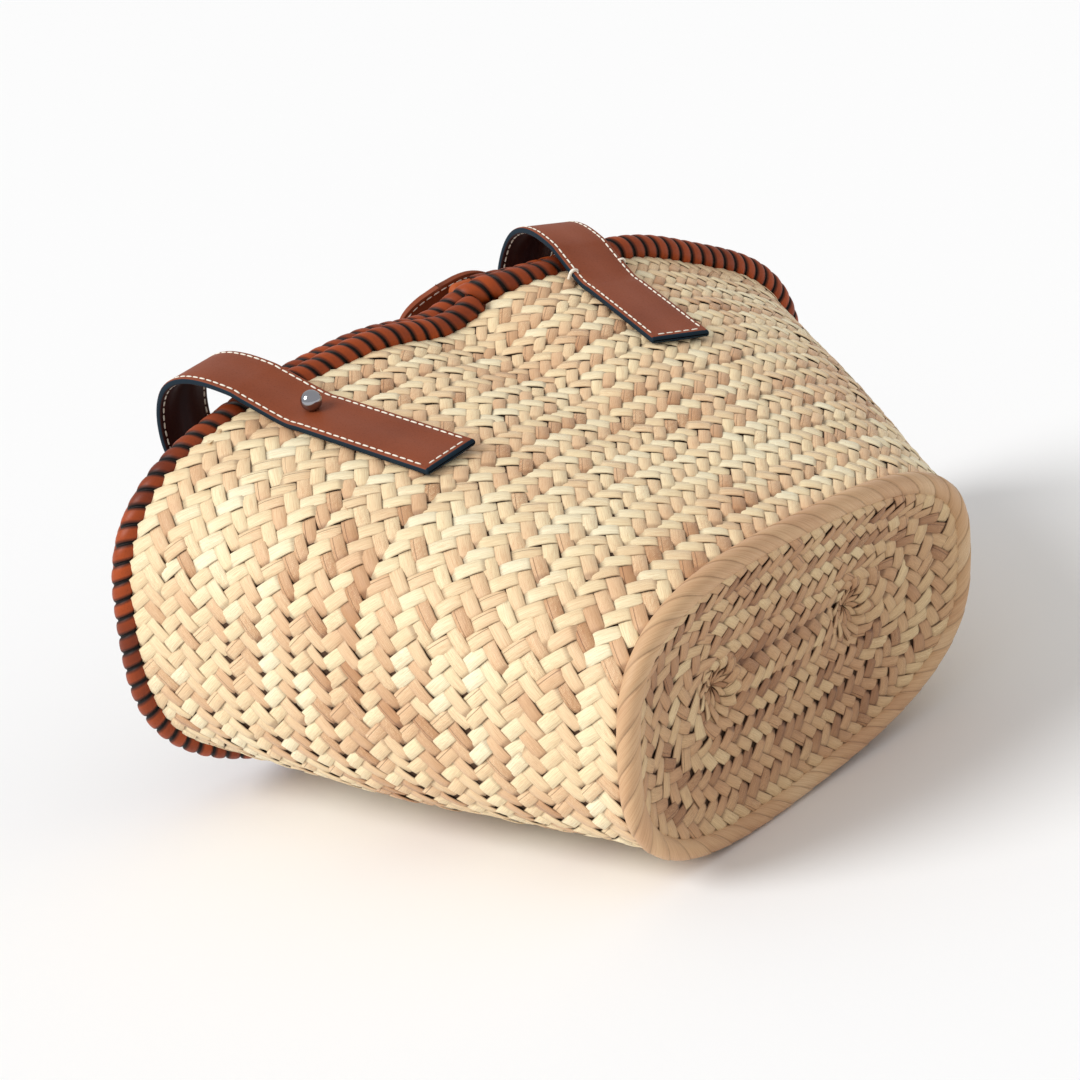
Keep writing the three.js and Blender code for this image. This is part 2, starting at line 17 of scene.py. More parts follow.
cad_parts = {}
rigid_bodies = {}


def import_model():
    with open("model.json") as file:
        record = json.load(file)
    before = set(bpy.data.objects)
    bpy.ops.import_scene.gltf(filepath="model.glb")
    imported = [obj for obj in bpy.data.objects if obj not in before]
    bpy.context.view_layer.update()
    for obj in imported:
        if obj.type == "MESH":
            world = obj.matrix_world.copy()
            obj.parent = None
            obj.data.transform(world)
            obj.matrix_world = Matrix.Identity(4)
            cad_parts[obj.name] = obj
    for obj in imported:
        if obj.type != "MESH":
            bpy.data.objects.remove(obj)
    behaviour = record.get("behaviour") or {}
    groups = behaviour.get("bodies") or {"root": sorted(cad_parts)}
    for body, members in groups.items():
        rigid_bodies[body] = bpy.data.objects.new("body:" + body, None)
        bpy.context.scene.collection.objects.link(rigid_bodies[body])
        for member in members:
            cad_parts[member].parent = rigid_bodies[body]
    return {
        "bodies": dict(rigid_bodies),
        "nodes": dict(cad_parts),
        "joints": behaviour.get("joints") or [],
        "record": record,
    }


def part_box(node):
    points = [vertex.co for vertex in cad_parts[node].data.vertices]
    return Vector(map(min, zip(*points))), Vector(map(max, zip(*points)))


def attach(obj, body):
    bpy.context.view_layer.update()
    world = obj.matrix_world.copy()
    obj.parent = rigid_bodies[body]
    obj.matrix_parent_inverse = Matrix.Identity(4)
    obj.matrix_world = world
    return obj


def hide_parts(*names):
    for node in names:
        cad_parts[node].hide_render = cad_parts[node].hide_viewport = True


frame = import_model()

Socket = bpy.types.NodeSocket
Tree = bpy.types.NodeTree
Material = bpy.types.Material
Object = bpy.types.Object
Mesh = bpy.types.Mesh
log = logging.getLogger("basket_bag")
MM = 0.001
DEGREE = math.pi / 180


class Side(Enum):
    """The two faces of the basket's wall that carry plait."""

    OUTER = 1
    INNER = -1


class Hand(Enum):
    """Which way a plait cell slants as it runs towards the base."""

    RISING = 1
    FALLING = -1


@dataclass(frozen=True)
class Section:
    """One row of the wall's shape, at a share from the base (0) to the mouth (1)."""

    share: float
    growth: float
    upper_power: float
    lower_power: float
    egg: float


@dataclass(frozen=True)
class Dent:
    """A soft dent of the wall, as shares round it, along it and of the mouth's depth."""

    around: float
    along: float
    wide: float
    tall: float
    deep: float


@dataclass(frozen=True)
class BasketSize:
    """Driving sizes of the basket, the same as in the part's source."""

    base_length: float = 221 * MM
    base_depth: float = 109 * MM
    mouth_length: float = 379 * MM
    mouth_depth: float = 165 * MM
    run: float = 221 * MM
    slide: float = 30 * MM
    wall: float = 3 * MM
    braids: int = 14
    base_turn: float = 9.5
    mouth_turn: float = 0.5
    base_lean: float = 8.2
    mouth_lean: float = 5.5
    rim_lift: float = 9 * MM
    piping_radius: float = 4.5 * MM
    sections: tuple[Section, ...] = (
        Section(0, 0, 3.0, 2.8, -0.11),
        Section(0.25, 0.265, 2.95, 2.9, -0.09),
        Section(0.5, 0.52, 2.9, 3.0, -0.065),
        Section(0.75, 0.765, 2.85, 3.1, -0.04),
        Section(1, 1, 2.8, 3.25, -0.02),
    )
    dents: tuple[Dent, ...] = (
        Dent(0.262, 1.0, 0.032, 0.4, 0.06),
        Dent(0.335, 1.0, 0.055, 0.5, 0.045),
        Dent(0.085, 1.0, 0.045, 0.35, 0.055),
        Dent(0.42, 0.45, 0.06, 0.25, -0.01),
        Dent(0.6, 0.6, 0.045, 0.3, -0.025),
        Dent(0.26, 0.45, 0.05, 0.2, 0.01),
    )


def unit_vectors(vectors: np.ndarray) -> np.ndarray:
    """Scales each vector of an array to length one."""
    return vectors / np.maximum(np.linalg.norm(vectors, axis=-1, keepdims=True), 1e-12)


def spin_about_z(points: np.ndarray, degrees: float) -> np.ndarray:
    """Turns points about the Z axis.

    Args:
        points: Array of points, three numbers each.
        degrees: Angle, counter-clockwise from above.

    Returns:
        The turned points.
    """
    c, s = math.cos(degrees * DEGREE), math.sin(degrees * DEGREE)
    turned = points.copy()
    turned[..., 0] = points[..., 0] * c - points[..., 1] * s
    turned[..., 1] = points[..., 0] * s + points[..., 1] * c
    return turned


class WallSurface:
    """The wall's middle surface, as a table of points round it and along it."""

    ROWS = 72
    COLUMNS = 720

    def __init__(self, size: BasketSize) -> None:
        """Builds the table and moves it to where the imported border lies.

        Args:
            size: The basket's driving sizes.
        """
        self.size = size
        shares = np.linspace(0, 1, self.ROWS + 1)
        rings = [self._ring(share) for share in shares]
        self.centres = np.array([centre for _, centre in rings])
        points = np.array([ring for ring, _ in rings])
        self.shift = self._shift(points[0])
        self.points = points + self.shift
        self.centres += self.shift
        lean = size.base_lean * DEGREE
        normal = np.array([math.cos(lean), 0.0, -math.sin(lean)])
        self.base_normal = spin_about_z(normal, size.base_turn)
        along = np.gradient(self.points, axis=0)
        around = np.roll(self.points, -3, axis=1) - np.roll(self.points, 3, axis=1)
        self.out = unit_vectors(np.cross(along, around))
        steps = np.roll(self.points, -1, axis=1) - self.points
        self.perimeters = np.linalg.norm(steps, axis=2).sum(axis=1)
        self.height = float(np.linalg.norm(self.middle(0.25, 1) - self.middle(0.25, 0)))

    def _section(self, share: float) -> Section:
        """Value of the section table at a share, straight between its rows.

        Args:
            share: Place from the base (0) to the mouth (1).

        Returns:
            The section's values there.
        """
        rows = self.size.sections
        at = [row.share for row in rows]
        names = ("growth", "upper_power", "lower_power", "egg")
        values = [float(np.interp(share, at, [getattr(row, name) for row in rows])) for name in names]
        return Section(share, *values)

    def _ring(self, share: float) -> tuple[np.ndarray, np.ndarray]:
        """One closed oval of the wall.

        Args:
            share: Place from the base (0) to the mouth (1).

        Returns:
            Points at equal steps round the oval, dents included, and the oval's centre.
        """
        size = self.size
        row = self._section(share)
        half_length = (size.base_length + (size.mouth_length - size.base_length) * row.growth) / 2
        half_depth = (size.base_depth + (size.mouth_depth - size.base_depth) * row.growth) / 2
        lean = (size.base_lean + (size.mouth_lean - size.base_lean) * share) * DEGREE
        turn = size.base_turn + (size.mouth_turn - size.base_turn) * share
        lift = size.piping_radius + (size.rim_lift - size.piping_radius) * share
        angle = np.linspace(0, 2 * math.pi, 1441)[:-1]
        c, s = np.cos(angle), np.sin(angle)
        power = np.where(s < 0, row.lower_power, row.upper_power)
        radius = (np.abs(c) ** power + np.abs(s) ** power) ** (-1 / power)
        y = half_length * radius * c
        v = half_depth * radius * s * (1 + row.egg * y / half_length)
        flat = np.stack([v * math.sin(lean), y, v * math.cos(lean)], axis=1)
        centre = np.array([-size.run * share, size.slide * share, lift - flat[:, 2].min()])
        loop = spin_about_z(flat, turn) + centre
        loop = np.vstack([loop, loop[:1]])
        lengths = np.concatenate([[0], np.cumsum(np.linalg.norm(np.diff(loop, axis=0), axis=1))])
        places = np.arange(self.COLUMNS) / self.COLUMNS
        ring = np.stack([np.interp(places * lengths[-1], lengths, loop[:, k]) for k in range(3)], axis=1)
        inward = unit_vectors(centre - ring)
        return ring + inward * self._dent(places, share)[:, None], centre

    def _dent(self, around: np.ndarray, share: float) -> np.ndarray:
        """How far the dents push the wall inward at places round one ring.

        Args:
            around: Places round the ring.
            share: The ring's place along the wall.

        Returns:
            Distance inward at each place.
        """
        depth = np.zeros_like(around)
        for dent in self.size.dents:
            turn = (around - dent.around + 0.5) % 1 - 0.5
            fall = np.exp(-((turn / dent.wide) ** 2) - ((share - dent.along) / dent.tall) ** 2)
            depth += dent.deep * self.size.mouth_depth * fall
        return depth

    def _shift(self, base_ring: np.ndarray) -> np.ndarray:
        """Move from the source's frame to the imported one, read off the border's box."""
        low, high = (np.array(corner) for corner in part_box("base_piping"))
        return (low + high) / 2 - (base_ring.min(axis=0) + base_ring.max(axis=0)) / 2

    def _read(self, table: np.ndarray, around: np.ndarray, share: np.ndarray) -> np.ndarray:
        """Reads a table between its entries, going on straight past its first and last rows.

        Args:
            table: Rows by columns by three.
            around: Shares round the wall.
            share: Shares along it, from the base to the mouth.

        Returns:
            One entry for each place.
        """
        row = np.clip(np.floor(share * self.ROWS), 0, self.ROWS - 1).astype(int)
        part = (share * self.ROWS - row)[..., None]
        place = (around % 1) * self.COLUMNS
        left = np.floor(place).astype(int) % self.COLUMNS
        right = (left + 1) % self.COLUMNS
        turn = (place - np.floor(place))[..., None]
        near = table[row, left] * (1 - turn) + table[row, right] * turn
        far = table[row + 1, left] * (1 - turn) + table[row + 1, right] * turn
        return near * (1 - part) + far * part

    def middle(self, around: float | np.ndarray, share: float | np.ndarray) -> np.ndarray:
        """Points of the middle surface at shares round it and along it."""
        around, share = np.broadcast_arrays(np.asarray(around, float), np.asarray(share, float))
        return self._read(self.points, around, share)

    def place(self, around: np.ndarray, share: np.ndarray, height: np.ndarray) -> np.ndarray:
        """Points that stand out of the middle surface.

        Args:
            around: Share round the wall, 0 at the +Y end and 0.25 on top.
            share: Share along it, 0 at the base and 1 at the mouth.
            height: Distance outward from the middle surface.

        Returns:
            Points in the row frame.
        """
        around, share, height = np.broadcast_arrays(around, share, height)
        out = unit_vectors(self._read(self.out, around, np.clip(share, 0, 1)))
        return self.middle(around, share) + out * height[..., None]

    def frame(self, around: np.ndarray, share: np.ndarray) -> tuple[np.ndarray, ...]:
        """Points with their directions: towards the mouth, out of the wall and round it.

        Args:
            around: Shares round the wall.
            share: Shares along it, from the base to the mouth.

        Returns:
            The points and the three directions at each.
        """
        point = self.middle(around, share)
        high, low = np.minimum(share + 0.05, 1), np.maximum(share - 0.05, 0)
        along = unit_vectors(self.middle(around, high) - self.middle(around, low))
        side = self.middle(around + 0.004, share) - self.middle(around - 0.004, share)
        out = unit_vectors(np.cross(along, side))
        return point, along, out, unit_vectors(np.cross(out, along))

    def perimeter(self, share: float) -> float:
        """Length round the wall at a share along it."""
        return float(np.interp(share * self.ROWS, np.arange(self.ROWS + 1), self.perimeters))


def smooth_line(points: np.ndarray, steps: int, power: float) -> np.ndarray:
    """A smooth line through points.

    Args:
        points: The points it passes.
        steps: Straight pieces between two of them.
        power: How the spacing is weighed, 0.5 on a line in space and 0 on an even one.

    Returns:
        The line's points.
    """
    ends = np.vstack([2 * points[0] - points[1], points, 2 * points[-1] - points[-2]])
    if power == 0:
        ends[0], ends[-1] = points[0], points[-1]
    line = []
    for a, b, c, d in zip(ends, ends[1:], ends[2:], ends[3:]):
        gaps = [max(np.linalg.norm(q - p), 1e-9) ** power for p, q in ((a, b), (b, c), (c, d))]
        start = (b - a) / gaps[0] - (c - a) / (gaps[0] + gaps[1]) + (c - b) / gaps[1]
        stop = (c - b) / gaps[1] - (d - b) / (gaps[1] + gaps[2]) + (d - c) / gaps[2]
        t = np.linspace(0, 1, steps, endpoint=False)[:, None]
        m, n = start * gaps[1], stop * gaps[1]
        line.append((2 * t**3 - 3 * t**2 + 1) * b + (t**3 - 2 * t**2 + t) * m
                    + (3 * t**2 - 2 * t**3) * c + (t**3 - t**2) * n)
    return np.vstack([*line, points[-1:]])


class Path:
    """A line in space with a side and an up direction at each place along it."""

    def __init__(self, points: np.ndarray, side: np.ndarray, closed: bool = False) -> None:
        """Takes the line's points and, for each, the direction to its side.

        Args:
            points: Points of the line.
            side: Direction to the side at each point.
            closed: Joins the last point to the first.
        """
        self.closed = closed
        self.points = np.vstack([points, points[:1]]) if closed else points
        sides = np.vstack([side, side[:1]]) if closed else side
        steps = np.linalg.norm(np.diff(self.points, axis=0), axis=1)
        self.lengths = np.concatenate([[0], np.cumsum(steps)])
        if closed:
            tangent = np.roll(points, -1, axis=0) - np.roll(points, 1, axis=0)
            tangent = np.vstack([tangent, tangent[:1]])
        else:
            tangent = np.gradient(self.points, axis=0)
        self.tangent = unit_vectors(tangent)
        self.side = unit_vectors(sides - self.tangent * (sides * self.tangent).sum(1, keepdims=True))
        self.up = np.cross(self.side, self.tangent)

    @property
    def length(self) -> float:
        """The line's whole length."""
        return float(self.lengths[-1])

    def part(self, first: float, last: float, count: int) -> "Path":
        """The line between two distances along it, in even steps.

        Args:
            first: Distance where it starts.
            last: Distance where it stops.
            count: Number of points.

        Returns:
            The new line.
        """
        along = np.linspace(first, last, count)
        points = self.place(along, np.zeros(count), np.zeros(count))
        return Path(points, self.place(along, np.full(count, MM), np.zeros(count)) - points)

    def place(self, along: np.ndarray, aside: np.ndarray, above: np.ndarray) -> np.ndarray:
        """Points beside the line, at distances along it, to its side and above it.

        Args:
            along: Distances along the line.
            aside: Distances to its side.
            above: Distances above it.

        Returns:
            The points.
        """
        along, aside, above = np.broadcast_arrays(along, aside, above)
        at = along % self.length if self.closed else along
        columns = [[np.interp(at, self.lengths, table[:, k]) for k in range(3)]
                   for table in (self.points, self.side, self.up, self.tangent)]
        point, side, up, tangent = (np.stack(column, axis=-1) for column in columns)
        over = np.zeros_like(at) if self.closed else at - np.clip(at, 0, self.length)
        return (point + unit_vectors(side) * aside[..., None] + unit_vectors(up) * above[..., None]
                + tangent * over[..., None])


class MeshKit:
    """Makes Blender objects from arrays of points."""

    @staticmethod
    def sheet(name: str, points: np.ndarray, wrap_rows: bool = False, wrap_columns: bool = False,
              uv: np.ndarray | None = None, marks: dict[str, np.ndarray] | None = None,
              flip: bool = False) -> Object:
        """A sheet of four-sided faces over a grid of points.

        Args:
            name: The object's name.
            points: Rows by columns by three.
            wrap_rows: Joins the last row to the first.
            wrap_columns: Joins the last column to the first.
            uv: Rows by columns by two, kept as the map "strip".
            marks: Numbers kept on the points, each rows by columns.
            flip: Turns the faces round.

        Returns:
            The object, linked to the scene.
        """
        rows, columns = points.shape[:2]
        index = np.arange(rows * columns).reshape(rows, columns)
        down = np.roll(index, -1, axis=0) if wrap_rows else index[1:]
        here = index if wrap_rows else index[:-1]
        across = (lambda a: np.roll(a, -1, axis=1)) if wrap_columns else (lambda a: a[:, 1:])
        keep = (lambda a: a) if wrap_columns else (lambda a: a[:, :-1])
        quads = np.stack([keep(here), across(here), across(down), keep(down)], axis=-1).reshape(-1, 4)
        if flip:
            quads = quads[:, ::-1]
        mesh = bpy.data.meshes.new(name)
        mesh.from_pydata(points.reshape(-1, 3).tolist(), [], quads.tolist())
        if uv is not None:
            layer = mesh.uv_layers.new(name="strip")
            layer.data.foreach_set("uv", uv.reshape(-1, 2)[quads.ravel()].ravel())
        for key, values in (marks or {}).items():
            mesh.attributes.new(key, "FLOAT", "POINT").data.foreach_set("value", values.ravel())
        mesh.shade_smooth()
        return MeshKit.link(name, mesh)

    @staticmethod
    def link(name: str, mesh: Mesh) -> Object:
        """Makes an object of a mesh and links it to the scene.

        Args:
            name: The object's name.
            mesh: The mesh.

        Returns:
            The object.
        """
        obj = bpy.data.objects.new(name, mesh)
        bpy.context.scene.collection.objects.link(obj)
        return obj

    @staticmethod
    def dots(name: str, points: np.ndarray, marks: dict[str, np.ndarray]) -> Object:
        """Loose points with numbers on them, for copies to stand on.

        Args:
            name: The object's name.
            points: The points.
            marks: Numbers kept on the points.

        Returns:
            The object of points.
        """
        mesh = bpy.data.meshes.new(name)
        mesh.from_pydata(points.tolist(), [], [])
        for key, values in marks.items():
            mesh.attributes.new(key, "FLOAT", "POINT").data.foreach_set("value", values)
        return MeshKit.link(name, mesh)

    @staticmethod
    def read(mesh: Mesh) -> np.ndarray:
        """The mesh's points as an array.

        Args:
            mesh: The mesh.

        Returns:
            The points, three numbers each.
        """
        flat = np.empty(len(mesh.vertices) * 3)
        mesh.vertices.foreach_get("co", flat)
        return flat.reshape(-1, 3)

    @staticmethod
    def write(mesh: Mesh, points: np.ndarray) -> None:
        """Puts the mesh's points where an array says."""
        mesh.vertices.foreach_set("co", points.ravel())
        mesh.update()

    @staticmethod
    def mark(mesh: Mesh, name: str) -> np.ndarray:
        """The numbers kept on the mesh's points under a name.

        Args:
            mesh: The mesh.
            name: The name of the numbers.

        Returns:
            One number for each point.
        """
        values = np.empty(len(mesh.vertices))
        mesh.attributes[name].data.foreach_get("value", values)
        return values

    @staticmethod
    def weld(mesh: Mesh, distance: float) -> None:
        """Merges the mesh's points that meet.

        Args:
            mesh: The mesh.
            distance: How far apart merged points may lie.
        """
        shape = bmesh.new()
        shape.from_mesh(mesh)
        bmesh.ops.remove_doubles(shape, verts=shape.verts, dist=distance)
        shape.to_mesh(mesh)
        shape.free()

    @staticmethod
    def join(name: str, objects: list[Object]) -> Object:
        """Joins objects into one and names it.

        Args:
            name: The new name.
            objects: The objects, of which the first is kept.

        Returns:
            The joined object.
        """
        with bpy.context.temp_override(active_object=objects[0], selected_editable_objects=objects):
            bpy.ops.object.join()
        objects[0].name = name
        objects[0].data.name = name
        return objects[0]

    @staticmethod
    def drop(*objects: Object) -> None:
        """Deletes helper objects."""
        for obj in objects:
            bpy.data.objects.remove(obj, do_unlink=True)


@dataclass
class CopyTree:
    """Geometry Nodes tree that sets copies of one unit on the points of a mesh.

    Each copy gets a small turn, size and height of its own and a random number, kept on its
    points as "shade", for the material to read.
    """

    name: str
    turn: float = 0.0
    rock: float = 0.0
    spread: float = 0.0
    lift: float = 0.0
    seed: int = 1
    sockets: dict[str, str] = field(default_factory=dict)

    def _input(self, tree: Tree, name: str, kind: str) -> None:
        """Adds a named input and remembers its identifier."""
        socket = tree.interface.new_socket(name, in_out="INPUT", socket_type=kind)
        self.sockets[name] = socket.identifier

    def build(self) -> Tree:
        """Builds the tree.

        Returns:
            The new node tree.
        """
        tree = bpy.data.node_groups.new(self.name, "GeometryNodeTree")
        tree.interface.new_socket("Geometry", in_out="OUTPUT", socket_type="NodeSocketGeometry")
        kinds = (("Points", "Geometry"), ("Unit", "Object"), ("Turn", "Float"), ("Rock", "Float"),
                 ("Spread", "Float"), ("Lift", "Float"), ("Seed", "Int"), ("Finish", "Material"))
        for name, kind in kinds:
            self._input(tree, name, f"NodeSocket{kind}")
        node, link = tree.nodes.new, tree.links.new
        given = node("NodeGroupInput").outputs
        unit = node("GeometryNodeObjectInfo")
        link(given["Unit"], unit.inputs["Object"])
        turn = self._vector(tree, given["Rock"], given["Rock"], given["Turn"])
        aim = node("GeometryNodeInputNamedAttribute")
        aim.inputs["Name"].default_value = "aim"
        rotation = node("ShaderNodeVectorMath")
        link(self._random(tree, turn, given["Seed"], 0), rotation.inputs[0])
        link(self._vector(tree, None, None, aim.outputs["Attribute"]), rotation.inputs[1])
        size = self._random(tree, self._vector(tree, given["Spread"], given["Spread"], given["Spread"]),
                            given["Seed"], 1)
        whole = node("ShaderNodeVectorMath")
        whole.inputs[1].default_value = (1, 1, 1)
        link(size, whole.inputs[0])
        move = self._random(tree, self._vector(tree, None, None, given["Lift"]), given["Seed"], 2)
        raised = node("GeometryNodeSetPosition")
        link(given["Points"], raised.inputs["Geometry"])
        link(move, raised.inputs["Offset"])
        copies = node("GeometryNodeInstanceOnPoints")
        link(raised.outputs["Geometry"], copies.inputs["Points"])
        link(unit.outputs["Geometry"], copies.inputs["Instance"])
        link(rotation.outputs[0], copies.inputs["Rotation"])
        link(whole.outputs[0], copies.inputs["Scale"])
        shade = node("FunctionNodeRandomValue")
        link(given["Seed"], shade.inputs["Seed"])
        kept = node("GeometryNodeStoreNamedAttribute")
        kept.domain = "INSTANCE"
        kept.inputs["Name"].default_value = "shade"
        link(copies.outputs["Instances"], kept.inputs["Geometry"])
        link(shade.outputs[1], kept.inputs["Value"])
        real = node("GeometryNodeRealizeInstances")
        link(kept.outputs["Geometry"], real.inputs["Geometry"])
        finish = node("GeometryNodeSetMaterial")
        link(real.outputs["Geometry"], finish.inputs["Geometry"])
        link(given["Finish"], finish.inputs["Material"])
        link(finish.outputs["Geometry"], node("NodeGroupOutput").inputs["Geometry"])
        return tree

    @staticmethod
    def _vector(tree: Tree, *parts: Socket | None) -> Socket:
        """Joins three numbers into a vector, a missing one as zero.

        Args:
            tree: The tree that gets the nodes.
            parts: The sockets of the three numbers, or none.

        Returns:
            The vector's socket.
        """
        joined = tree.nodes.new("ShaderNodeCombineXYZ")
        for part, socket in zip(parts, joined.inputs):
            if part is not None:
                tree.links.new(part, socket)
        return joined.outputs[0]

    @staticmethod
    def _random(tree: Tree, reach: Socket, seed: Socket,
                offset: int) -> Socket:
        """A random vector for each point, within plus and minus a reach.

        Args:
            tree: The tree that gets the nodes.
            reach: The largest value each way.
            seed: The seed's socket.
            offset: Added to the seed.

        Returns:
            The value's socket.
        """
        back = tree.nodes.new("ShaderNodeVectorMath")
        back.operation = "SCALE"
        back.inputs["Scale"].default_value = -1
        tree.links.new(reach, back.inputs[0])
        more = tree.nodes.new("ShaderNodeMath")
        more.inputs[1].default_value = offset
        tree.links.new(seed, more.inputs[0])
        value = tree.nodes.new("FunctionNodeRandomValue")
        value.data_type = "FLOAT_VECTOR"
        tree.links.new(back.outputs[0], value.inputs["Min"])
        tree.links.new(reach, value.inputs["Max"])
        tree.links.new(more.outputs[0], value.inputs["Seed"])
        return value.outputs[0]

    def copies(self, unit: Object, dots: Object,
               material: Material) -> Object:
        """Sets the copies and makes them one plain mesh.

        Args:
            unit: The shape to copy.
            dots: The points that the copies stand on.
            material: Their finish.

        Returns:
            The object of loose points, now with the copies as its mesh.
        """
        modifier = dots.modifiers.new(self.name, "NODES")
        modifier.node_group = self.build()
        values = {"Unit": unit, "Turn": self.turn * DEGREE, "Rock": self.rock * DEGREE,
                  "Spread": self.spread, "Lift": self.lift, "Seed": self.seed, "Finish": material}
        for name, value in values.items():
            modifier[self.sockets[name]] = value
        depsgraph = bpy.context.evaluated_depsgraph_get()
        mesh = bpy.data.meshes.new_from_object(dots.evaluated_get(depsgraph), preserve_all_data_layers=True,
                                               depsgraph=depsgraph)
        dots.modifiers.clear()
        dots.data = mesh
        mesh.shade_smooth()
        return dots


class Graph:
    """Short calls for building one material's nodes."""

    def __init__(self, name: str) -> None:
        """Makes an empty material with a shader and an output.

        Args:
            name: The material's name.
        """
        self.material = bpy.data.materials.new(name)
        self.material.use_nodes = True
        self.tree = self.material.node_tree
        self.shader = self.tree.nodes["Principled BSDF"]

    def join(self, source: Socket | float | tuple, target: Socket) -> None:
        """Links a socket, or sets a plain value.

        Args:
            source: A socket or a plain value.
            target: The input that gets it.
        """
        if isinstance(source, Socket):
            self.tree.links.new(source, target)
        else:
            target.default_value = source

    def mark(self, name: str) -> Socket:
        """The number kept on the piece's points under a name.

        Args:
            name: The name of the numbers.

        Returns:
            The number's socket.
        """
        node = self.tree.nodes.new("ShaderNodeAttribute")
        node.attribute_name = name
        return node.outputs["Fac"]

    def strip(self) -> tuple[Socket, Socket]:
        """The piece's own map: across the strip and along it.

        Returns:
            The two sockets.
        """
        node = self.tree.nodes.new("ShaderNodeUVMap")
        node.uv_map = "strip"
        parts = self.tree.nodes.new("ShaderNodeSeparateXYZ")
        self.join(node.outputs["UV"], parts.inputs[0])
        return parts.outputs[0], parts.outputs[1]

    def place(self) -> Socket:
        """Object coordinates."""
        return self.tree.nodes.new("ShaderNodeTexCoord").outputs["Object"]

    def math(self, kind: str, *values: Socket | float) -> Socket:
        """One step of arithmetic."""
        node = self.tree.nodes.new("ShaderNodeMath")
        node.operation = kind
        for value, socket in zip(values, node.inputs):
            self.join(value, socket)
        return node.outputs[0]

    def times(self, value: Socket | float, factor: float) -> Socket:
        """A value times a factor."""
        return self.math("MULTIPLY", value, factor)

    def minus(self, value: Socket,
              other: Socket | float) -> Socket:
        """One value less another."""
        return self.math("SUBTRACT", value, other)

    def from_middle(self, share: Socket) -> Socket:
        """How far a share lies from one half, as 0 there and 1 at both its ends."""
        return self.math("ABSOLUTE", self.minus(self.times(share, 2.0), 1.0))

    def total(self, *terms: tuple[Socket | float, float]) -> Socket:
        """Adds values up, each times its weight.

        Args:
            terms: Pairs of a value and its weight.

        Returns:
            The sum's socket.
        """
        result = self.times(*terms[0])
        for term in terms[1:]:
            result = self.math("ADD", result, self.times(*term))
        return result

    def vector(self, *parts: Socket | float) -> Socket:
        """Joins three numbers into a vector."""
        node = self.tree.nodes.new("ShaderNodeCombineXYZ")
        for part, socket in zip(parts, node.inputs):
            self.join(part, socket)
        return node.outputs[0]

    def noise(self, vector: Socket, scale: float, detail: float = 2.0) -> Socket:
        """Noise from 0 to 1.

        Args:
            vector: Where the noise is read.
            scale: How fine the noise is.
            detail: How many finer layers it has.

        Returns:
            The value's socket.
        """
        node = self.tree.nodes.new("ShaderNodeTexNoise")
        node.inputs["Scale"].default_value = scale
        node.inputs["Detail"].default_value = detail
        self.join(vector, node.inputs["Vector"])
        return node.outputs[0]

    def chance(self, value: Socket) -> Socket:
        """A random number for each value.

        Args:
            value: The number that picks it.

        Returns:
            The random number's socket.
        """
        node = self.tree.nodes.new("ShaderNodeTexWhiteNoise")
        node.noise_dimensions = "1D"
        self.join(value, node.inputs["W"])
        return node.outputs["Value"]

    def ease(self, value: Socket, low: float, high: float, start: float = 0.0,
             stop: float = 1.0) -> Socket:
        """Goes smoothly from start to stop as a value goes from low to high.

        Args:
            value: The value.
            low: Where it starts to change.
            high: Where it stops.
            start: Result at low.
            stop: Result at high.

        Returns:
            The result's socket.
        """
        node = self.tree.nodes.new("ShaderNodeMapRange")
        node.interpolation_type = "SMOOTHSTEP"
        for name, number in (("From Min", low), ("From Max", high), ("To Min", start), ("To Max", stop)):
            node.inputs[name].default_value = number
        self.join(value, node.inputs["Value"])
        return node.outputs[0]

    def ramp(self, value: Socket, stops: tuple[tuple[float, str], ...]) -> Socket:
        """A colour from a row of stops, each a place and a hex colour.

        Args:
            value: Place along the row.
            stops: Places and colours.

        Returns:
            The colour's socket.
        """
        node = self.tree.nodes.new("ShaderNodeValToRGB")
        elements = node.color_ramp.elements
        while len(elements) < len(stops):
            elements.new(0.5)
        for element, (at, colour) in zip(elements, stops):
            element.position = at
            element.color = hex_colour(colour)
        self.join(value, node.inputs[0])
        return node.outputs[0]

    def mix(self, share: Socket | float, first: Socket | tuple,
            second: Socket | tuple, kind: str = "MIX") -> Socket:
        """Blends two colours.

        Args:
            share: How much of the second colour.
            first: One colour.
            second: The other.
            kind: How they blend.

        Returns:
            The colour's socket.
        """
        node = self.tree.nodes.new("ShaderNodeMix")
        node.data_type = "RGBA"
        node.blend_type = kind
        self.join(share, node.inputs[0])
        self.join(first, node.inputs[6])
        self.join(second, node.inputs[7])
        return node.outputs[2]

    def bump(self, height: Socket, strength: float, distance: float) -> None:
        """Adds fine relief to the shader.

        Args:
            height: The relief.
            strength: How much of it.
            distance: How deep it is.
        """
        node = self.tree.nodes.new("ShaderNodeBump")
        node.inputs["Strength"].default_value = strength
        node.inputs["Distance"].default_value = distance
        self.join(height, node.inputs["Height"])
        self.join(node.outputs[0], self.shader.inputs["Normal"])

    def set(self, **values: Socket | float | tuple) -> None:
        """Sets or links the shader's inputs, named with underscores for spaces."""
        for name, value in values.items():
            self.join(value, self.shader.inputs[name.replace("_", " ")])


def hex_colour(text: str) -> tuple[float, float, float, float]:
    """A linear colour from six hex digits.

    Args:
        text: The six digits.

    Returns:
        Red, green, blue and one.
    """
    parts = [int(text[i:i + 2], 16) / 255 for i in (0, 2, 4)]
    linear = [p / 12.92 if p <= 0.04045 else ((p + 0.055) / 1.055) ** 2.4 for p in parts]
    return (*linear, 1.0)


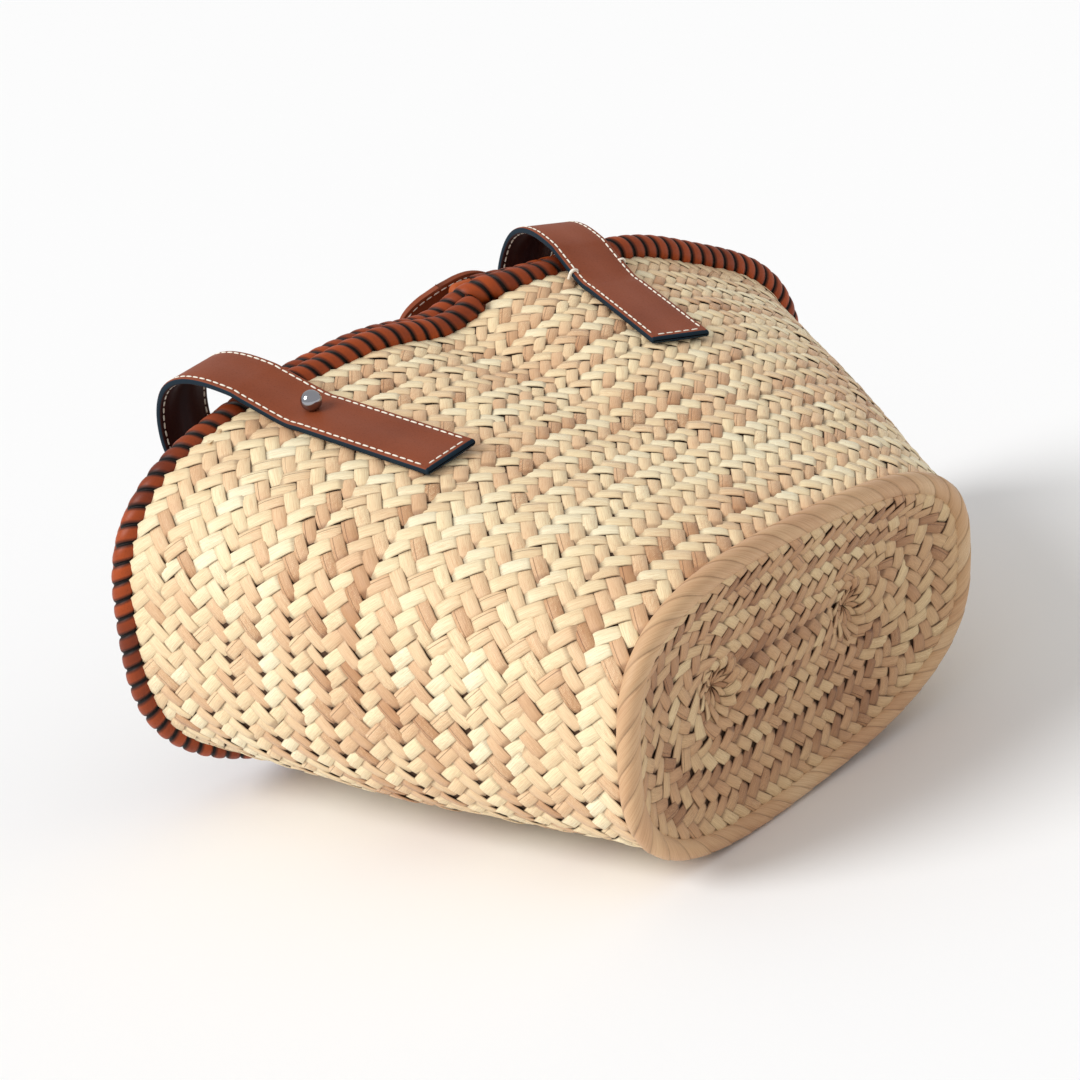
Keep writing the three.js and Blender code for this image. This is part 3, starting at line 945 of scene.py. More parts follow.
@dataclass(frozen=True)
class PalmFinish:
    """Dry palm leaf: each strip its own tint, fine lines along it, painted shade where it tucks under,
    towards one end and on the falling strips.
    """

    name: str = "palm leaf"
    pale: str = "fff9da"
    straw: str = "fae9c0"
    tan: str = "e9c69e"
    brown: str = "c4966d"
    shift: float = 0.0
    # painted shade: below one, the whole colour is multiplied darker, as for the inside
    darken: float = 1.0
    split: float = 0.82
    variety: float = 0.6
    # painted shade: how much darker the falling strips are than the rising ones
    slant_shade: float = 0.26
    # strengths of the painted shade along the strips' edges and at their tucked ends
    edge_tuck_shade: float = 0.5
    end_tuck_shade: float = 0.42
    patches: float = 0.75
    # painted shade: the tone grows darker along each strip towards its tucked end
    end_shade_slope: float = 0.14
    row_variety: float = 0.16
    # colour that the painted tuck shade and the split lines multiply towards
    shade_and_split: str = "6d4526"

    def build(self) -> Material:
        """Builds the material.

        Returns:
            The finish.
        """
        g = Graph(self.name)
        across, along = g.strip()
        shade, limb = g.mark("shade"), g.mark("limb")
        own = g.chance(g.total((shade, 913.0), (limb, 7.3)))
        region = g.noise(g.place(), 14.0, 1.0)
        row = g.chance(g.times(g.math("ROUND", g.times(g.mark("phase"), 100.0)), 0.37))
        # tone: own random tint, painted shade on the falling strips, random patches, painted shade towards
        # one end of each strip, a random tint per row and a shift
        tone = g.total((own, self.variety), (limb, self.slant_shade), (g.minus(region, 0.5), self.patches),
                       (along, self.end_shade_slope), (g.minus(row, 0.5), self.row_variety), (self.shift, 1.0))
        stops = ((0.0, self.pale), (0.36, self.straw), (0.72, self.tan), (1.0, self.brown))
        colour = g.ramp(tone, stops)
        lines = g.noise(g.vector(g.times(across, 16.0), along, g.times(shade, 60.0)),
                        2.6, 4.0)
        colour = g.mix(g.ease(lines, 0.3, 0.62, 0.42, 0.0), colour, hex_colour(self.brown), "MULTIPLY")
        edge, end = g.from_middle(across), g.from_middle(along)
        # painted shade: darker along each strip's edges and at both ends, where it tucks under its neighbours
        tuck_shade = g.math("MAXIMUM", g.ease(edge, 0.86, 1.0, 0.0, self.edge_tuck_shade),
                      g.ease(end, 0.54, 0.78, 0.0, self.end_tuck_shade))
        line = g.math("ABSOLUTE", g.minus(across, 0.76))
        torn = g.times(g.ease(line, 0.0, 0.045, 0.75, 0.0),
                      g.ease(own, self.split, self.split + 0.02))
        # multiplies in the painted tuck shade and the split lines
        colour = g.mix(g.math("MAXIMUM", tuck_shade, torn), colour, hex_colour(self.shade_and_split), "MULTIPLY")
        # painted shade: the whole colour multiplied darker and slightly warmer, for the plait inside the bag
        inside_shade = (self.darken, self.darken * 0.97, self.darken * 0.93, 1.0)
        colour = g.mix(1.0, colour, inside_shade, "MULTIPLY")
        g.set(Base_Color=colour, Roughness=g.ease(lines, 0.2, 0.8, 0.46, 0.66), Specular_IOR_Level=0.42,
              Sheen_Weight=0.08)
        g.bump(g.minus(lines, g.times(torn, 0.8)), 0.35, 0.25 * MM)
        return g.material


@dataclass(frozen=True)
class GapShadeFinish:
    """Painted shade: the dark colour of the plait core, standing for the shade seen in the gaps between
    strips.
    """

    name: str = "plait core"
    # dark brown painted as the shade seen in the gaps
    colour: str = "553a24"

    def build(self) -> Material:
        """Builds the material.

        Returns:
            The finish.
        """
        g = Graph(self.name)
        grain = g.noise(g.place(), 900.0, 3.0)
        # a fine noise mixes the painted gap shade with a darker copy of it
        deep = tuple(0.45 * part for part in hex_colour(self.colour)[:3])
        g.set(Base_Color=g.mix(grain, hex_colour(self.colour), (*deep, 1.0)), Roughness=0.9)
        g.bump(grain, 0.5, 0.4 * MM)
        return g.material


@dataclass(frozen=True)
class LeatherFinish:
    """Smooth leather with a fine grain and dark painted edges and, if asked, painted shade growing towards
    those edges.
    """

    name: str
    light: str
    dark: str
    lining: str = "3b1a18"
    edge: str = "080e16"
    gloss: float = 0.42
    grain: float = 1500.0
    coat: float = 0.12
    shine: float = 0.3
    # painted shade: how far the colour darkens towards the edges of a bulging wrap
    wrap_edge_shade: float = 0.0

    def build(self) -> Material:
        """Builds the material.

        Returns:
            The finish.
        """
        g = Graph(self.name)
        place = g.place()
        cloud = g.noise(place, 26.0, 3.0)
        pores = g.noise(place, self.grain, 2.0)
        painted = g.mark("painted")
        tone = g.total((cloud, 0.8), (g.mark("shade"), 0.2))
        colour = g.mix(g.ease(tone, 0.2, 0.85), hex_colour(self.light), hex_colour(self.dark))
        colour = g.mix(g.mark("lining"), colour, hex_colour(self.lining))
        colour = g.mix(g.ease(pores, 0.5, 0.75, 0.0, 0.16), colour, hex_colour(self.edge), "MULTIPLY")
        # painted shade: the colour darkens towards the edge colour as the wrap curves away to its edges
        colour = g.mix(g.ease(painted, 0.0, 0.7, 0.0, self.wrap_edge_shade), colour, hex_colour(self.edge))
        colour = g.mix(g.ease(painted, 0.72, 0.95), colour, hex_colour(self.edge))
        rough = g.total((painted, 0.16), (pores, 0.14))
        g.set(Base_Color=colour, Roughness=g.math("ADD", self.gloss, rough), Coat_Weight=self.coat,
              Coat_Roughness=0.35, Specular_IOR_Level=self.shine)
        g.bump(pores, 0.22, 0.12 * MM)
        return g.material


@dataclass(frozen=True)
class ThreadFinish:
    """Waxed cream thread."""

    name: str = "cream thread"
    colour: str = "fffaf0"
    shade: str = "eadfc8"

    def build(self) -> Material:
        """Builds the material.

        Returns:
            The finish.
        """
        g = Graph(self.name)
        twist = g.noise(g.place(), 4000.0, 1.0)
        g.set(Base_Color=g.mix(twist, hex_colour(self.colour), hex_colour(self.shade)), Roughness=0.7)
        g.bump(twist, 0.4, 0.1 * MM)
        return g.material


@dataclass(frozen=True)
class SteelFinish:
    """Polished steel with faint wear."""

    name: str = "polished steel"
    colour: str = "a2a2a8"

    def build(self) -> Material:
        """Builds the material.

        Returns:
            The finish.
        """
        g = Graph(self.name)
        wear = g.noise(g.place(), 700.0, 4.0)
        g.set(Base_Color=hex_colour(self.colour), Metallic=1.0, Roughness=g.ease(wear, 0.3, 0.8, 0.06, 0.15))
        return g.material


def dress(piece: Object, slot: str, *nodes: str) -> Object:
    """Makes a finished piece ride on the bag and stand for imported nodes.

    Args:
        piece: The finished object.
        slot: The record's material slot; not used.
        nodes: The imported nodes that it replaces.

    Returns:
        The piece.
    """
    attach(piece, "root")
    if nodes:
        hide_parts(*nodes)
    log.info("%s: %d faces", piece.name, len(piece.data.polygons))
    return piece


@dataclass(frozen=True)
class Cell:
    """One visible length of a palm strip, lying flat, with both ends tucked under.

    X runs round the basket, Y towards the base and Z out of the wall. The strips lie in the
    order of a two-over-two-under plait, so each cell's ends butt against the next one's side.
    """

    pitch: float = 7.5 * MM
    length: float = 7.9 * MM
    thick: float = 1.0 * MM
    width: float = 1.08
    drift: float = 0.137
    stations: tuple[tuple[float, float, float], ...] = (
        (-0.22, -0.4, 0.96), (-0.03, 0.3, 1.0), (0.09, 0.8, 1.0), (0.3, 1.04, 1.0),
        (0.7, 1.04, 1.0), (0.91, 0.8, 1.0), (1.03, 0.3, 1.0), (1.22, -0.4, 0.96),
    )
    crown: tuple[tuple[float, float], ...] = (
        (-1.0, -0.38), (-0.94, -0.05), (0.0, 0.05), (0.94, -0.05), (1.0, -0.38),
    )
    turn: float = 3.0
    rock: float = 3.5
    spread: float = 0.04
    lift: float = 0.12 * MM

    def build(self, name: str, hand: Hand) -> Object:
        """Builds the cell's sheet.

        Args:
            name: The object's name.
            hand: Which way the strip slants.

        Returns:
            The unit, at the origin.
        """
        way = np.array([hand.value * self.pitch, self.length])
        half = np.array([hand.value * self.pitch, -self.length]) * 0.25 * self.width
        rows = [[(*(way * along + half * taper * across), self.thick * (lift + drop))
                 for across, drop in self.crown] for along, lift, taper in self.stations]
        first, last = self.stations[0][0], self.stations[-1][0]
        uv = [[((across + 1) / 2, (along - first) / (last - first)) for across, _ in self.crown]
              for along, _, _ in self.stations]
        # limb is 1 on falling cells; the palm finish paints them darker as shade and also seeds their tint
        # with it
        limb = np.full((len(self.stations), len(self.crown)), 0.5 - 0.5 * hand.value)
        return MeshKit.sheet(name, np.array(rows), uv=np.array(uv), marks={"limb": limb},
                             flip=hand is Hand.RISING)

    def layer(self, name: str, perimeters: list[float], material: Material,
              seed: int) -> Object:
        """Lays rows of cells flat, two columns to a row.

        Args:
            name: The object's name.
            perimeters: Length round each row.
            material: The cells' finish.
            seed: Start of the random draws.

        Returns:
            The flat layer, its points marked with their row's count of cells and its phase.
        """
        layers = []
        for hand in Hand:
            unit = self.build("cell", hand)
            places, cells, phases = [], [], []
            for row, perimeter in enumerate(perimeters):
                count = round(perimeter / self.pitch)
                column = 2 * row + (0 if hand is Hand.RISING else 1)
                places += [((i + 0.25 * hand.value) * self.pitch, (column - 0.25) * self.length, 0.0)
                           for i in range(count)]
                cells += [float(count)] * count
                phases += [self.drift * row] * count
            dots = MeshKit.dots(name, np.array(places), {"cells": np.array(cells), "phase": np.array(phases)})
            tree = CopyTree(f"{name} {hand.name.lower()}", turn=self.turn, rock=self.rock,
                            spread=self.spread, lift=self.lift, seed=seed)
            layers.append(tree.copies(unit, dots, material))
            MeshKit.drop(unit)
        return MeshKit.join(name, layers)

    def turns(self, mesh: Mesh) -> tuple[np.ndarray, np.ndarray, np.ndarray]:
        """Where a flat layer's points go: share round, distance from the first row, height.

        Args:
            mesh: The mesh.

        Returns:
            The three arrays.
        """
        flat = MeshKit.read(mesh)
        count, phase = MeshKit.mark(mesh, "cells"), MeshKit.mark(mesh, "phase")
        return phase - flat[:, 0] / (count * self.pitch), flat[:, 1], flat[:, 2]


@dataclass
class PlaitedWall:
    """The flared wall: a core, painted dark as the shade in the gaps, with a layer of plait outside and one
    inside.
    """

    surface: WallSurface
    cell: Cell = Cell()
    start: float = 0.011
    stand: float = 0.75 * MM

    def build(self, palm: Material, inner_palm: Material,
              core: Material) -> None:
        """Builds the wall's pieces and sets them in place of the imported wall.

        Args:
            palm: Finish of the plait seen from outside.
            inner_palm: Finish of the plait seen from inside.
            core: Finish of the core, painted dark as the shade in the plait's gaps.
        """
        for side, material in ((Side.OUTER, palm), (Side.INNER, inner_palm)):
            name = f"wall_plait_{side.name.lower()}"
            dress(self._plait(name, side, material), "plaited_palm", "basket_wall")
        dress(self._core(core), "plaited_palm", "basket_wall")

    def _plait(self, name: str, side: Side, material: Material) -> Object:
        """One layer of plait on a face of the wall.

        Args:
            name: The object's name.
            side: Which face it lies on.
            material: Its finish.

        Returns:
            The layer.
        """
        braids = self.surface.size.braids
        shares = [1 - (row + 0.5) / braids * (1 - self.start) for row in range(braids)]
        piece = self.cell.layer(name, [self.surface.perimeter(share) for share in shares], material,
                                7 + side.value)
        around, down, height = self.cell.turns(piece.data)
        share = 1 - down / (2 * braids * self.cell.length) * (1 - self.start)
        out = side.value * (self.stand + height)
        MeshKit.write(piece.data, self.surface.place(side.value * around, share, out))
        return piece

    def _core(self, material: Material) -> Object:
        """The closed tube under the plait, its faces pointing inward.

        Args:
            material: Its finish.

        Returns:
            The tube.
        """
        around = np.linspace(0, 1, 181)[:-1]
        shares = np.linspace(self.start * 0.6, 1, 30)
        rows = [self.surface.place(around, share, self.stand) for share in shares]
        rows += [self.surface.place(around, share, -self.stand) for share in shares[::-1]]
        piece = MeshKit.sheet("wall_core", np.array(rows), wrap_rows=True, wrap_columns=True)
        piece.data.materials.append(material)
        return piece


@dataclass
class BasePlait:
    """The sunk oval base: rings of plait round two swirl centres, seen from outside and inside."""

    surface: WallSurface
    cell: Cell = Cell(pitch=7.0 * MM, length=6.1 * MM, thick=1.1 * MM)
    petal: Cell = Cell(pitch=4.4 * MM, length=5.6 * MM, thick=1.7 * MM, width=0.96)
    rows: int = 4
    swirl: float = 44 * MM
    heart: float = 0.1
    hollow: float = 9 * MM
    inset: float = 4.8 * MM
    dimple: float = 6.5 * MM
    dimple_width: float = 11 * MM
    stand: float = 0.75 * MM
    spine_lift: float = 0.2 * MM
    heart_stand: float = 1.3 * MM
    dish: tuple[tuple[float, float], ...] = ((0.1, 1.0), (0.45, 0.86), (0.68, 0.6), (0.86, 0.3), (1.0, 0.0))

    def __post_init__(self) -> None:
        """Finds the panel's edge and how each of its rings is stepped evenly."""
        ring, self.centre = self.surface.points[0], self.surface.centres[0]
        self.normal = self.surface.base_normal
        side = np.roll(ring, -3, axis=0) - np.roll(ring, 3, axis=0)
        outward = unit_vectors(np.cross(self.normal, side))
        outward *= np.sign(((ring - self.centre) * outward).sum(axis=1, keepdims=True))
        self.edge = ring - outward * self.inset
        self.long = unit_vectors(self.edge[0] - self.edge[len(self.edge) // 2])
        self.steps = np.linspace(0, 1, 721)
        self.shares = np.linspace(0, 1.05, 22)
        self.rings, self.even = [], []
        for share in self.shares:
            loop = self._place(self.steps, np.full_like(self.steps, share), np.zeros_like(self.steps))
            lengths = np.concatenate([[0], np.cumsum(np.linalg.norm(np.diff(loop, axis=0), axis=1))])
            self.rings.append(lengths[-1])
            self.even.append(np.interp(self.steps * lengths[-1], lengths, self.steps))
        self.even = np.array(self.even)

    def build(self, palm: Material, inner_palm: Material,
              core: Material) -> None:
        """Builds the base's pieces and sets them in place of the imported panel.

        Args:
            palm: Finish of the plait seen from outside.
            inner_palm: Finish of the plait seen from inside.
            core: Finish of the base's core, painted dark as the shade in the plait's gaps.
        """
        for side, material in ((Side.OUTER, palm), (Side.INNER, inner_palm)):
            name = f"base_plait_{side.name.lower()}"
            dress(self._plait(name, side, material), "plaited_palm", "base_panel")
            dress(self._spine(name.replace("plait", "spine"), side, material), "plaited_palm", "base_panel")
            dress(self._hearts(name.replace("plait", "hearts"), side, material), "plaited_palm", "base_panel")
        dress(self._core(core), "plaited_palm", "base_panel")

    def _sunk(self, spot: np.ndarray, share: np.ndarray, height: np.ndarray) -> np.ndarray:
        """Lowers points of the flat oval into the dish and its two dimples.

        Args:
            spot: Points of the flat oval.
            share: Their shares, 1 at the edge.
            height: Their heights over the dish.

        Returns:
            The lowered points.
        """
        ends = np.stack([self.centre + self.long * self.swirl, self.centre - self.long * self.swirl])
        away = np.linalg.norm(spot[..., None, :] - ends, axis=-1).min(axis=-1)
        depth = self.hollow * np.interp(np.asarray(share) ** 1.1, *zip(*self.dish))
        depth = depth + self.dimple * np.exp(-((away / self.dimple_width) ** 2))
        return spot + self.normal * (np.asarray(height) - depth)[..., None]

    def _place(self, around: np.ndarray, share: np.ndarray, height: np.ndarray) -> np.ndarray:
        """Points on the panel: share 1 at its edge and 0 at the line between the swirls.

        Args:
            around: Shares round the edge.
            share: Shares out from the middle line.
            height: Heights over the dish.

        Returns:
            The points.
        """
        turn = (np.asarray(around) % 1) * len(self.edge)
        index = np.floor(turn).astype(int) % len(self.edge)
        part = (turn - np.floor(turn))[..., None]
        rim = self.edge[index] * (1 - part) + self.edge[(index + 1) % len(self.edge)] * part
        reach = ((rim - self.centre) * self.long).sum(axis=-1)
        heart = self.centre + np.clip(reach, -self.swirl, self.swirl)[..., None] * self.long
        spot = heart + (rim - heart) * np.asarray(share)[..., None]
        return self._sunk(spot, share, height)

    def _level(self, turn: np.ndarray, share: np.ndarray) -> np.ndarray:
        """Turns an even share of a ring's own length into a share round the edge.

        Args:
            turn: Even shares of a ring.
            share: The rings' own shares.

        Returns:
            Shares round the edge.
        """
        row = np.clip(share / self.shares[1], 0, len(self.shares) - 1.001)
        low = np.floor(row).astype(int)
        part = row - low
        column = (turn % 1) * (len(self.steps) - 1)
        left = np.floor(column).astype(int)
        right = np.minimum(left + 1, len(self.steps) - 1)
        step = column - left
        near = self.even[low, left] * (1 - step) + self.even[low, right] * step
        far = self.even[low + 1, left] * (1 - step) + self.even[low + 1, right] * step
        return near * (1 - part) + far * part

    def _plait(self, name: str, side: Side, material: Material) -> Object:
        """The rings of plait on one face of the panel.

        Args:
            name: The object's name.
            side: Which face it lies on.
            material: Its finish.

        Returns:
            The rings.
        """
        middles = [1 - (row + 0.5) / self.rows * (1 - self.heart) for row in range(self.rows)]
        perimeters = [float(np.interp(share, self.shares, self.rings)) for share in middles]
        piece = self.cell.layer(name, perimeters, material, 31 + side.value)
        turn, down, height = self.cell.turns(piece.data)
        row = np.rint(MeshKit.mark(piece.data, "phase") / self.cell.drift).astype(int)
        share = np.clip(1 - down / (2 * self.rows * self.cell.length) * (1 - self.heart), 0.005, 1.03)
        lift = side.value * (self.stand + height)
        around = self._level(side.value * turn, np.array(middles)[row])
        MeshKit.write(piece.data, self._place(around, share, lift))
        return piece

    def _spine(self, name: str, side: Side, material: Material) -> Object:
        """The first braid of the coil, straight between the two swirl centres.

        Args:
            name: The object's name.
            side: Which face it lies on.
            material: Its finish.

        Returns:
            The braid.
        """
        piece = self.cell.layer(name, [2 * self.swirl - self.cell.pitch], material, 51 + side.value)
        flat = MeshKit.read(piece.data)
        across = unit_vectors(np.cross(self.normal, self.long))
        spot = (self.centre + self.long * (flat[:, :1] - self.swirl + 0.5 * self.cell.pitch)
                + across * (side.value * (flat[:, 1:2] - 0.9 * self.cell.length)))
        lift = side.value * (self.stand + self.spine_lift + flat[:, 2])
        MeshKit.write(piece.data, self._sunk(spot, np.zeros(len(flat)), lift))
        return piece

    def _hearts(self, name: str, side: Side, material: Material) -> Object:
        """The tight rosette at each swirl centre, where the coil of braid begins.

        Args:
            name: The object's name.
            side: Which face it lies on.
            material: Its finish.

        Returns:
            The two rosettes.
        """
        across = unit_vectors(np.cross(self.normal, self.long))
        reach = 2 * self.petal.length
        pieces = []
        for way in (-1, 1):
            piece = self.petal.layer(name, [1.5 * math.pi * reach], material, 71 + side.value + way)
            turn, inward, height = self.petal.turns(piece.data)
            angle = 2 * math.pi * side.value * turn
            radius = np.maximum(reach - inward, 0.15 * MM)[:, None]
            spot = (self.centre + self.long * (way * self.swirl + radius * np.cos(angle)[:, None])
                    + across * (radius * np.sin(angle)[:, None]))
            lift = side.value * (self.heart_stand + height)
            MeshKit.write(piece.data, self._sunk(spot, np.zeros(len(spot)), lift))
            pieces.append(piece)
        return MeshKit.join(name, pieces)

    def _core(self, material: Material) -> Object:
        """The closed plate under the plait.

        Args:
            material: Its finish.

        Returns:
            The plate.
        """
        around = np.linspace(0, 1, 121)[:-1]
        shares = np.array([0.004, 0.1, 0.25, 0.4, 0.55, 0.7, 0.8, 0.88, 0.95, 0.995])
        stand = np.full_like(around, self.stand)
        rows = [self._place(around, np.full_like(around, share), -stand) for share in shares]
        rows += [self._place(around, np.full_like(around, share), stand) for share in shares[::-1]]
        piece = MeshKit.sheet("base_core", np.array(rows), wrap_rows=True, wrap_columns=True)
        piece.data.materials.append(material)
        return piece


@dataclass
class Winding:
    """Strips wound side by side round a line, each bulging between its dark edges."""

    radius: float
    pitch: float
    starts: int
    segments: int
    profile: tuple[tuple[float, float], ...]
    edge_from: float = 0.2
    edge_over: float = 0.23
    seam: float = 0.02 * MM

    def wind(self, name: str, path: Path, material: Material,
             end: float = 0.0) -> Object:
        """Winds the strips.

        Args:
            name: The object's name.
            path: The line that they go round.
            material: Their finish.
            end: Length left bare at the end.

        Returns:
            The wound strips as one object.
        """
        span = path.length - end
        count = round(span / self.pitch)
        pitch = span / count
        lead = self.starts * pitch
        turn = np.linspace(0, 1, self.segments + 1)
        across = np.array([at for at, _ in self.profile])
        rise = np.array([height for _, height in self.profile])
        shape = (len(turn), len(across))
        x = turn[:, None] * lead + across[None, :] * pitch
        points = np.stack([x, np.broadcast_to(turn[:, None] * self.radius, shape),
                           np.broadcast_to(rise[None, :], shape)], axis=-1)
        uv = np.stack([np.broadcast_to(across[None, :] + 0.5, shape), np.broadcast_to(turn[:, None], shape)],
                      axis=-1)
        # the painted mark rises across each wrap's edge: its soft start carries the rope's painted shade, its
        # top the real painted edge
        painted = np.clip((np.abs(across) - self.edge_from) / self.edge_over, 0, 1)
        edge = np.broadcast_to(painted[None, :], shape)
        unit = MeshKit.sheet("wrap", points, uv=uv, marks={"painted": edge})
        first = 0 if path.closed else -self.starts
        dots = MeshKit.dots(name, np.array([(i * pitch, 0.0, 0.0) for i in range(first, count)]), {})
        piece = CopyTree(name, seed=3).copies(unit, dots, material)
        MeshKit.drop(unit)
        flat = MeshKit.read(piece.data)
        angle = -2 * math.pi * flat[:, 1] / self.radius
        reach = self.radius + flat[:, 2]
        along = flat[:, 0]
        if not path.closed:
            along = np.clip(along, 0.0, path.length - end)
        MeshKit.write(piece.data, path.place(along, reach * np.cos(angle), reach * np.sin(angle)))
        MeshKit.weld(piece.data, self.seam)
        return piece


def tube(name: str, path: Path, radius: float, sides: int, step: float,
         domed: bool = False) -> Object:
    """A round tube along a line.

    Args:
        name: The object's name.
        path: The line.
        radius: The tube's radius.
        sides: Flats round it.
        step: Distance between its rings.
        domed: Rounds both ends into domes, each with a pinhole at its pole.

    Returns:
        The tube, its faces pointing inward.
    """
    count = max(8, round(path.length / step))
    along = np.linspace(0, path.length, count + 1)
    reach = np.full(count + 1, radius)
    if path.closed:
        along, reach = along[:-1], reach[:-1]
    elif domed:
        bend = np.linspace(0, 1, 7)[:-1] * math.pi / 2
        cap, pinhole = radius * 0.7, 0.05 * MM
        dome = np.maximum(radius * np.sin(bend), pinhole)
        along = np.concatenate([-cap * np.cos(bend), along, path.length + cap * np.cos(bend[::-1])])
        reach = np.concatenate([dome, reach, dome[::-1]])
    angle = np.linspace(0, 2 * math.pi, sides + 1)[:-1]
    points = path.place(along[:, None], reach[:, None] * np.cos(angle), reach[:, None] * np.sin(angle))
    shape = points.shape[:2]
    uv = np.stack([np.broadcast_to(angle / (2 * math.pi), shape),
                   np.broadcast_to(along[:, None], shape)], axis=-1)
    return MeshKit.sheet(name, points, wrap_rows=path.closed, wrap_columns=True, uv=uv)


@dataclass
class Border:
    """The border where the wall meets the base, wrapped in slanted palm strips."""

    surface: WallSurface
    core_radius: float = 4.1 * MM
    winding: Winding = field(default_factory=lambda: Winding(
        4.2 * MM, 13 * MM, 3, 24,
        ((-0.5, 0.0), (-0.48, 0.1 * MM), (-0.2, 0.2 * MM), (0.15, 0.28 * MM), (0.46, 0.34 * MM),
         (0.5, 0.0))))

    def build(self, strip: Material, core: Material) -> None:
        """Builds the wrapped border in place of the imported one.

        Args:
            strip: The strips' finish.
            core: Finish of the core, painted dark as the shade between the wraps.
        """
        ring = self.surface.points[0][::4]
        path = Path(ring, np.broadcast_to(-self.surface.base_normal, ring.shape), closed=True)
        dress(self.winding.wind("border_wrap", path, strip), "palm_strip", "base_piping")
        inside = tube("border_core", path, self.core_radius, 14, 5 * MM)
        inside.data.materials.append(core)
        dress(inside, "palm_strip", "base_piping")


@dataclass
class Rope:
    """The leather-wrapped rope: two turns round the mouth between bare ends."""

    surface: WallSurface
    diameter: float = 12.5 * MM
    bare: float = 7 * MM
    core_radius: float = 5.2 * MM
    end_radius: float = 5.3 * MM
    winding: Winding = field(default_factory=lambda: Winding(
        5.35 * MM, 7.4 * MM, 2, 24,
        ((-0.5, -0.6 * MM), (-0.46, -0.12 * MM), (-0.4, 0.38 * MM), (-0.32, 0.66 * MM), (-0.2, 0.84 * MM),
         (0.0, 0.94 * MM), (0.2, 0.84 * MM), (0.32, 0.64 * MM), (0.4, 0.34 * MM), (0.46, -0.16 * MM),
         (0.5, -0.6 * MM))))
    route: tuple[tuple[float, float, float], ...] = (
        (0.239, 0.57, 0.2), (0.3, 0.57, 0.18), (0.345, 0.57, 0.0), (0.38, 0.57, -0.1), (0.42, 0.57, -0.16),
        (0.5, 0.57, -0.08), (0.56, 0.57, 0.04), (0.61, 0.57, 0.14), (0.645, 0.57, -0.08),
        (0.75, 0.57, -0.06), (0.9, 0.57, 0.1), (1.0, 0.57, 0.2), (1.1, 0.57, 0.28), (1.145, 0.57, 0.3),
        (1.165, 0.57, 0.08), (1.196, 0.57, 0.0), (1.216, 0.68, 0.12), (1.232, 1.05, 0.24),
        (1.25, 1.5, 0.04), (1.28, 1.58, -0.14), (1.34, 1.56, -0.34), (1.38, 1.42, -0.66),
        (1.42, 1.3, -0.88), (1.5, 1.3, -0.82), (1.56, 1.4, -0.58), (1.61, 1.52, -0.3),
        (1.645, 1.6, -0.2), (1.75, 1.66, -0.06), (1.9, 1.55, -0.3), (2.0, 1.4, -0.5), (2.1, 1.42, -0.45),
        (2.165, 1.5, -0.46), (2.198, 1.52, -0.42), (2.214, 1.68, -0.34), (2.236, 2.2, -0.16),
    )

    def line(self) -> Path:
        """The rope's middle line.

        Returns:
            The line.
        """
        rows = smooth_line(np.array(self.route), 8, 0.5)
        point, along, out, _ = self.surface.frame(rows[:, 0], np.ones(len(rows)))
        guide = point + along * (rows[:, 1:2] * self.diameter) + out * (rows[:, 2:3] * self.diameter)
        points = smooth_line(guide, 4, 0.5)
        return Path(points, carried_sides(points))

    def build(self, leather: Material, core: Material,
              bare: Material) -> None:
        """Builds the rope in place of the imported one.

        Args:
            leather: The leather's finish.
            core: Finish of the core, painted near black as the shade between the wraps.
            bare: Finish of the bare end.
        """
        path = self.line()
        log.info("rope length %.3f m", path.length)
        dress(self.winding.wind("rope_wrap", path, leather, self.bare), "rope_leather", "handle_rope")
        wrapped = path.part(MM, path.length - self.bare, 500)
        inside = tube("rope_core", wrapped, self.core_radius, 16, 4 * MM, domed=True)
        inside.data.materials.append(core)
        dress(inside, "rope_leather", "handle_rope")
        last = path.part(path.length - 2 * self.bare, path.length, 12)
        end = tube("rope_bare_end", last, self.end_radius, 24, 1.5 * MM, domed=True)
        end.data.materials.append(bare)
        dress(end, "rope_leather", "handle_rope")


def carried_sides(points: np.ndarray) -> np.ndarray:
    """Side directions that turn as little as they can along a line.

    Args:
        points: The line's points.

    Returns:
        One direction for each point.
    """
    tangent = unit_vectors(np.gradient(points, axis=0))
    side = np.cross(tangent[0], (0.0, 0.0, 1.0))
    sides = []
    for way in tangent:
        side = side - way * side.dot(way)
        side = side / np.linalg.norm(side)
        sides.append(side)
    return np.array(sides)


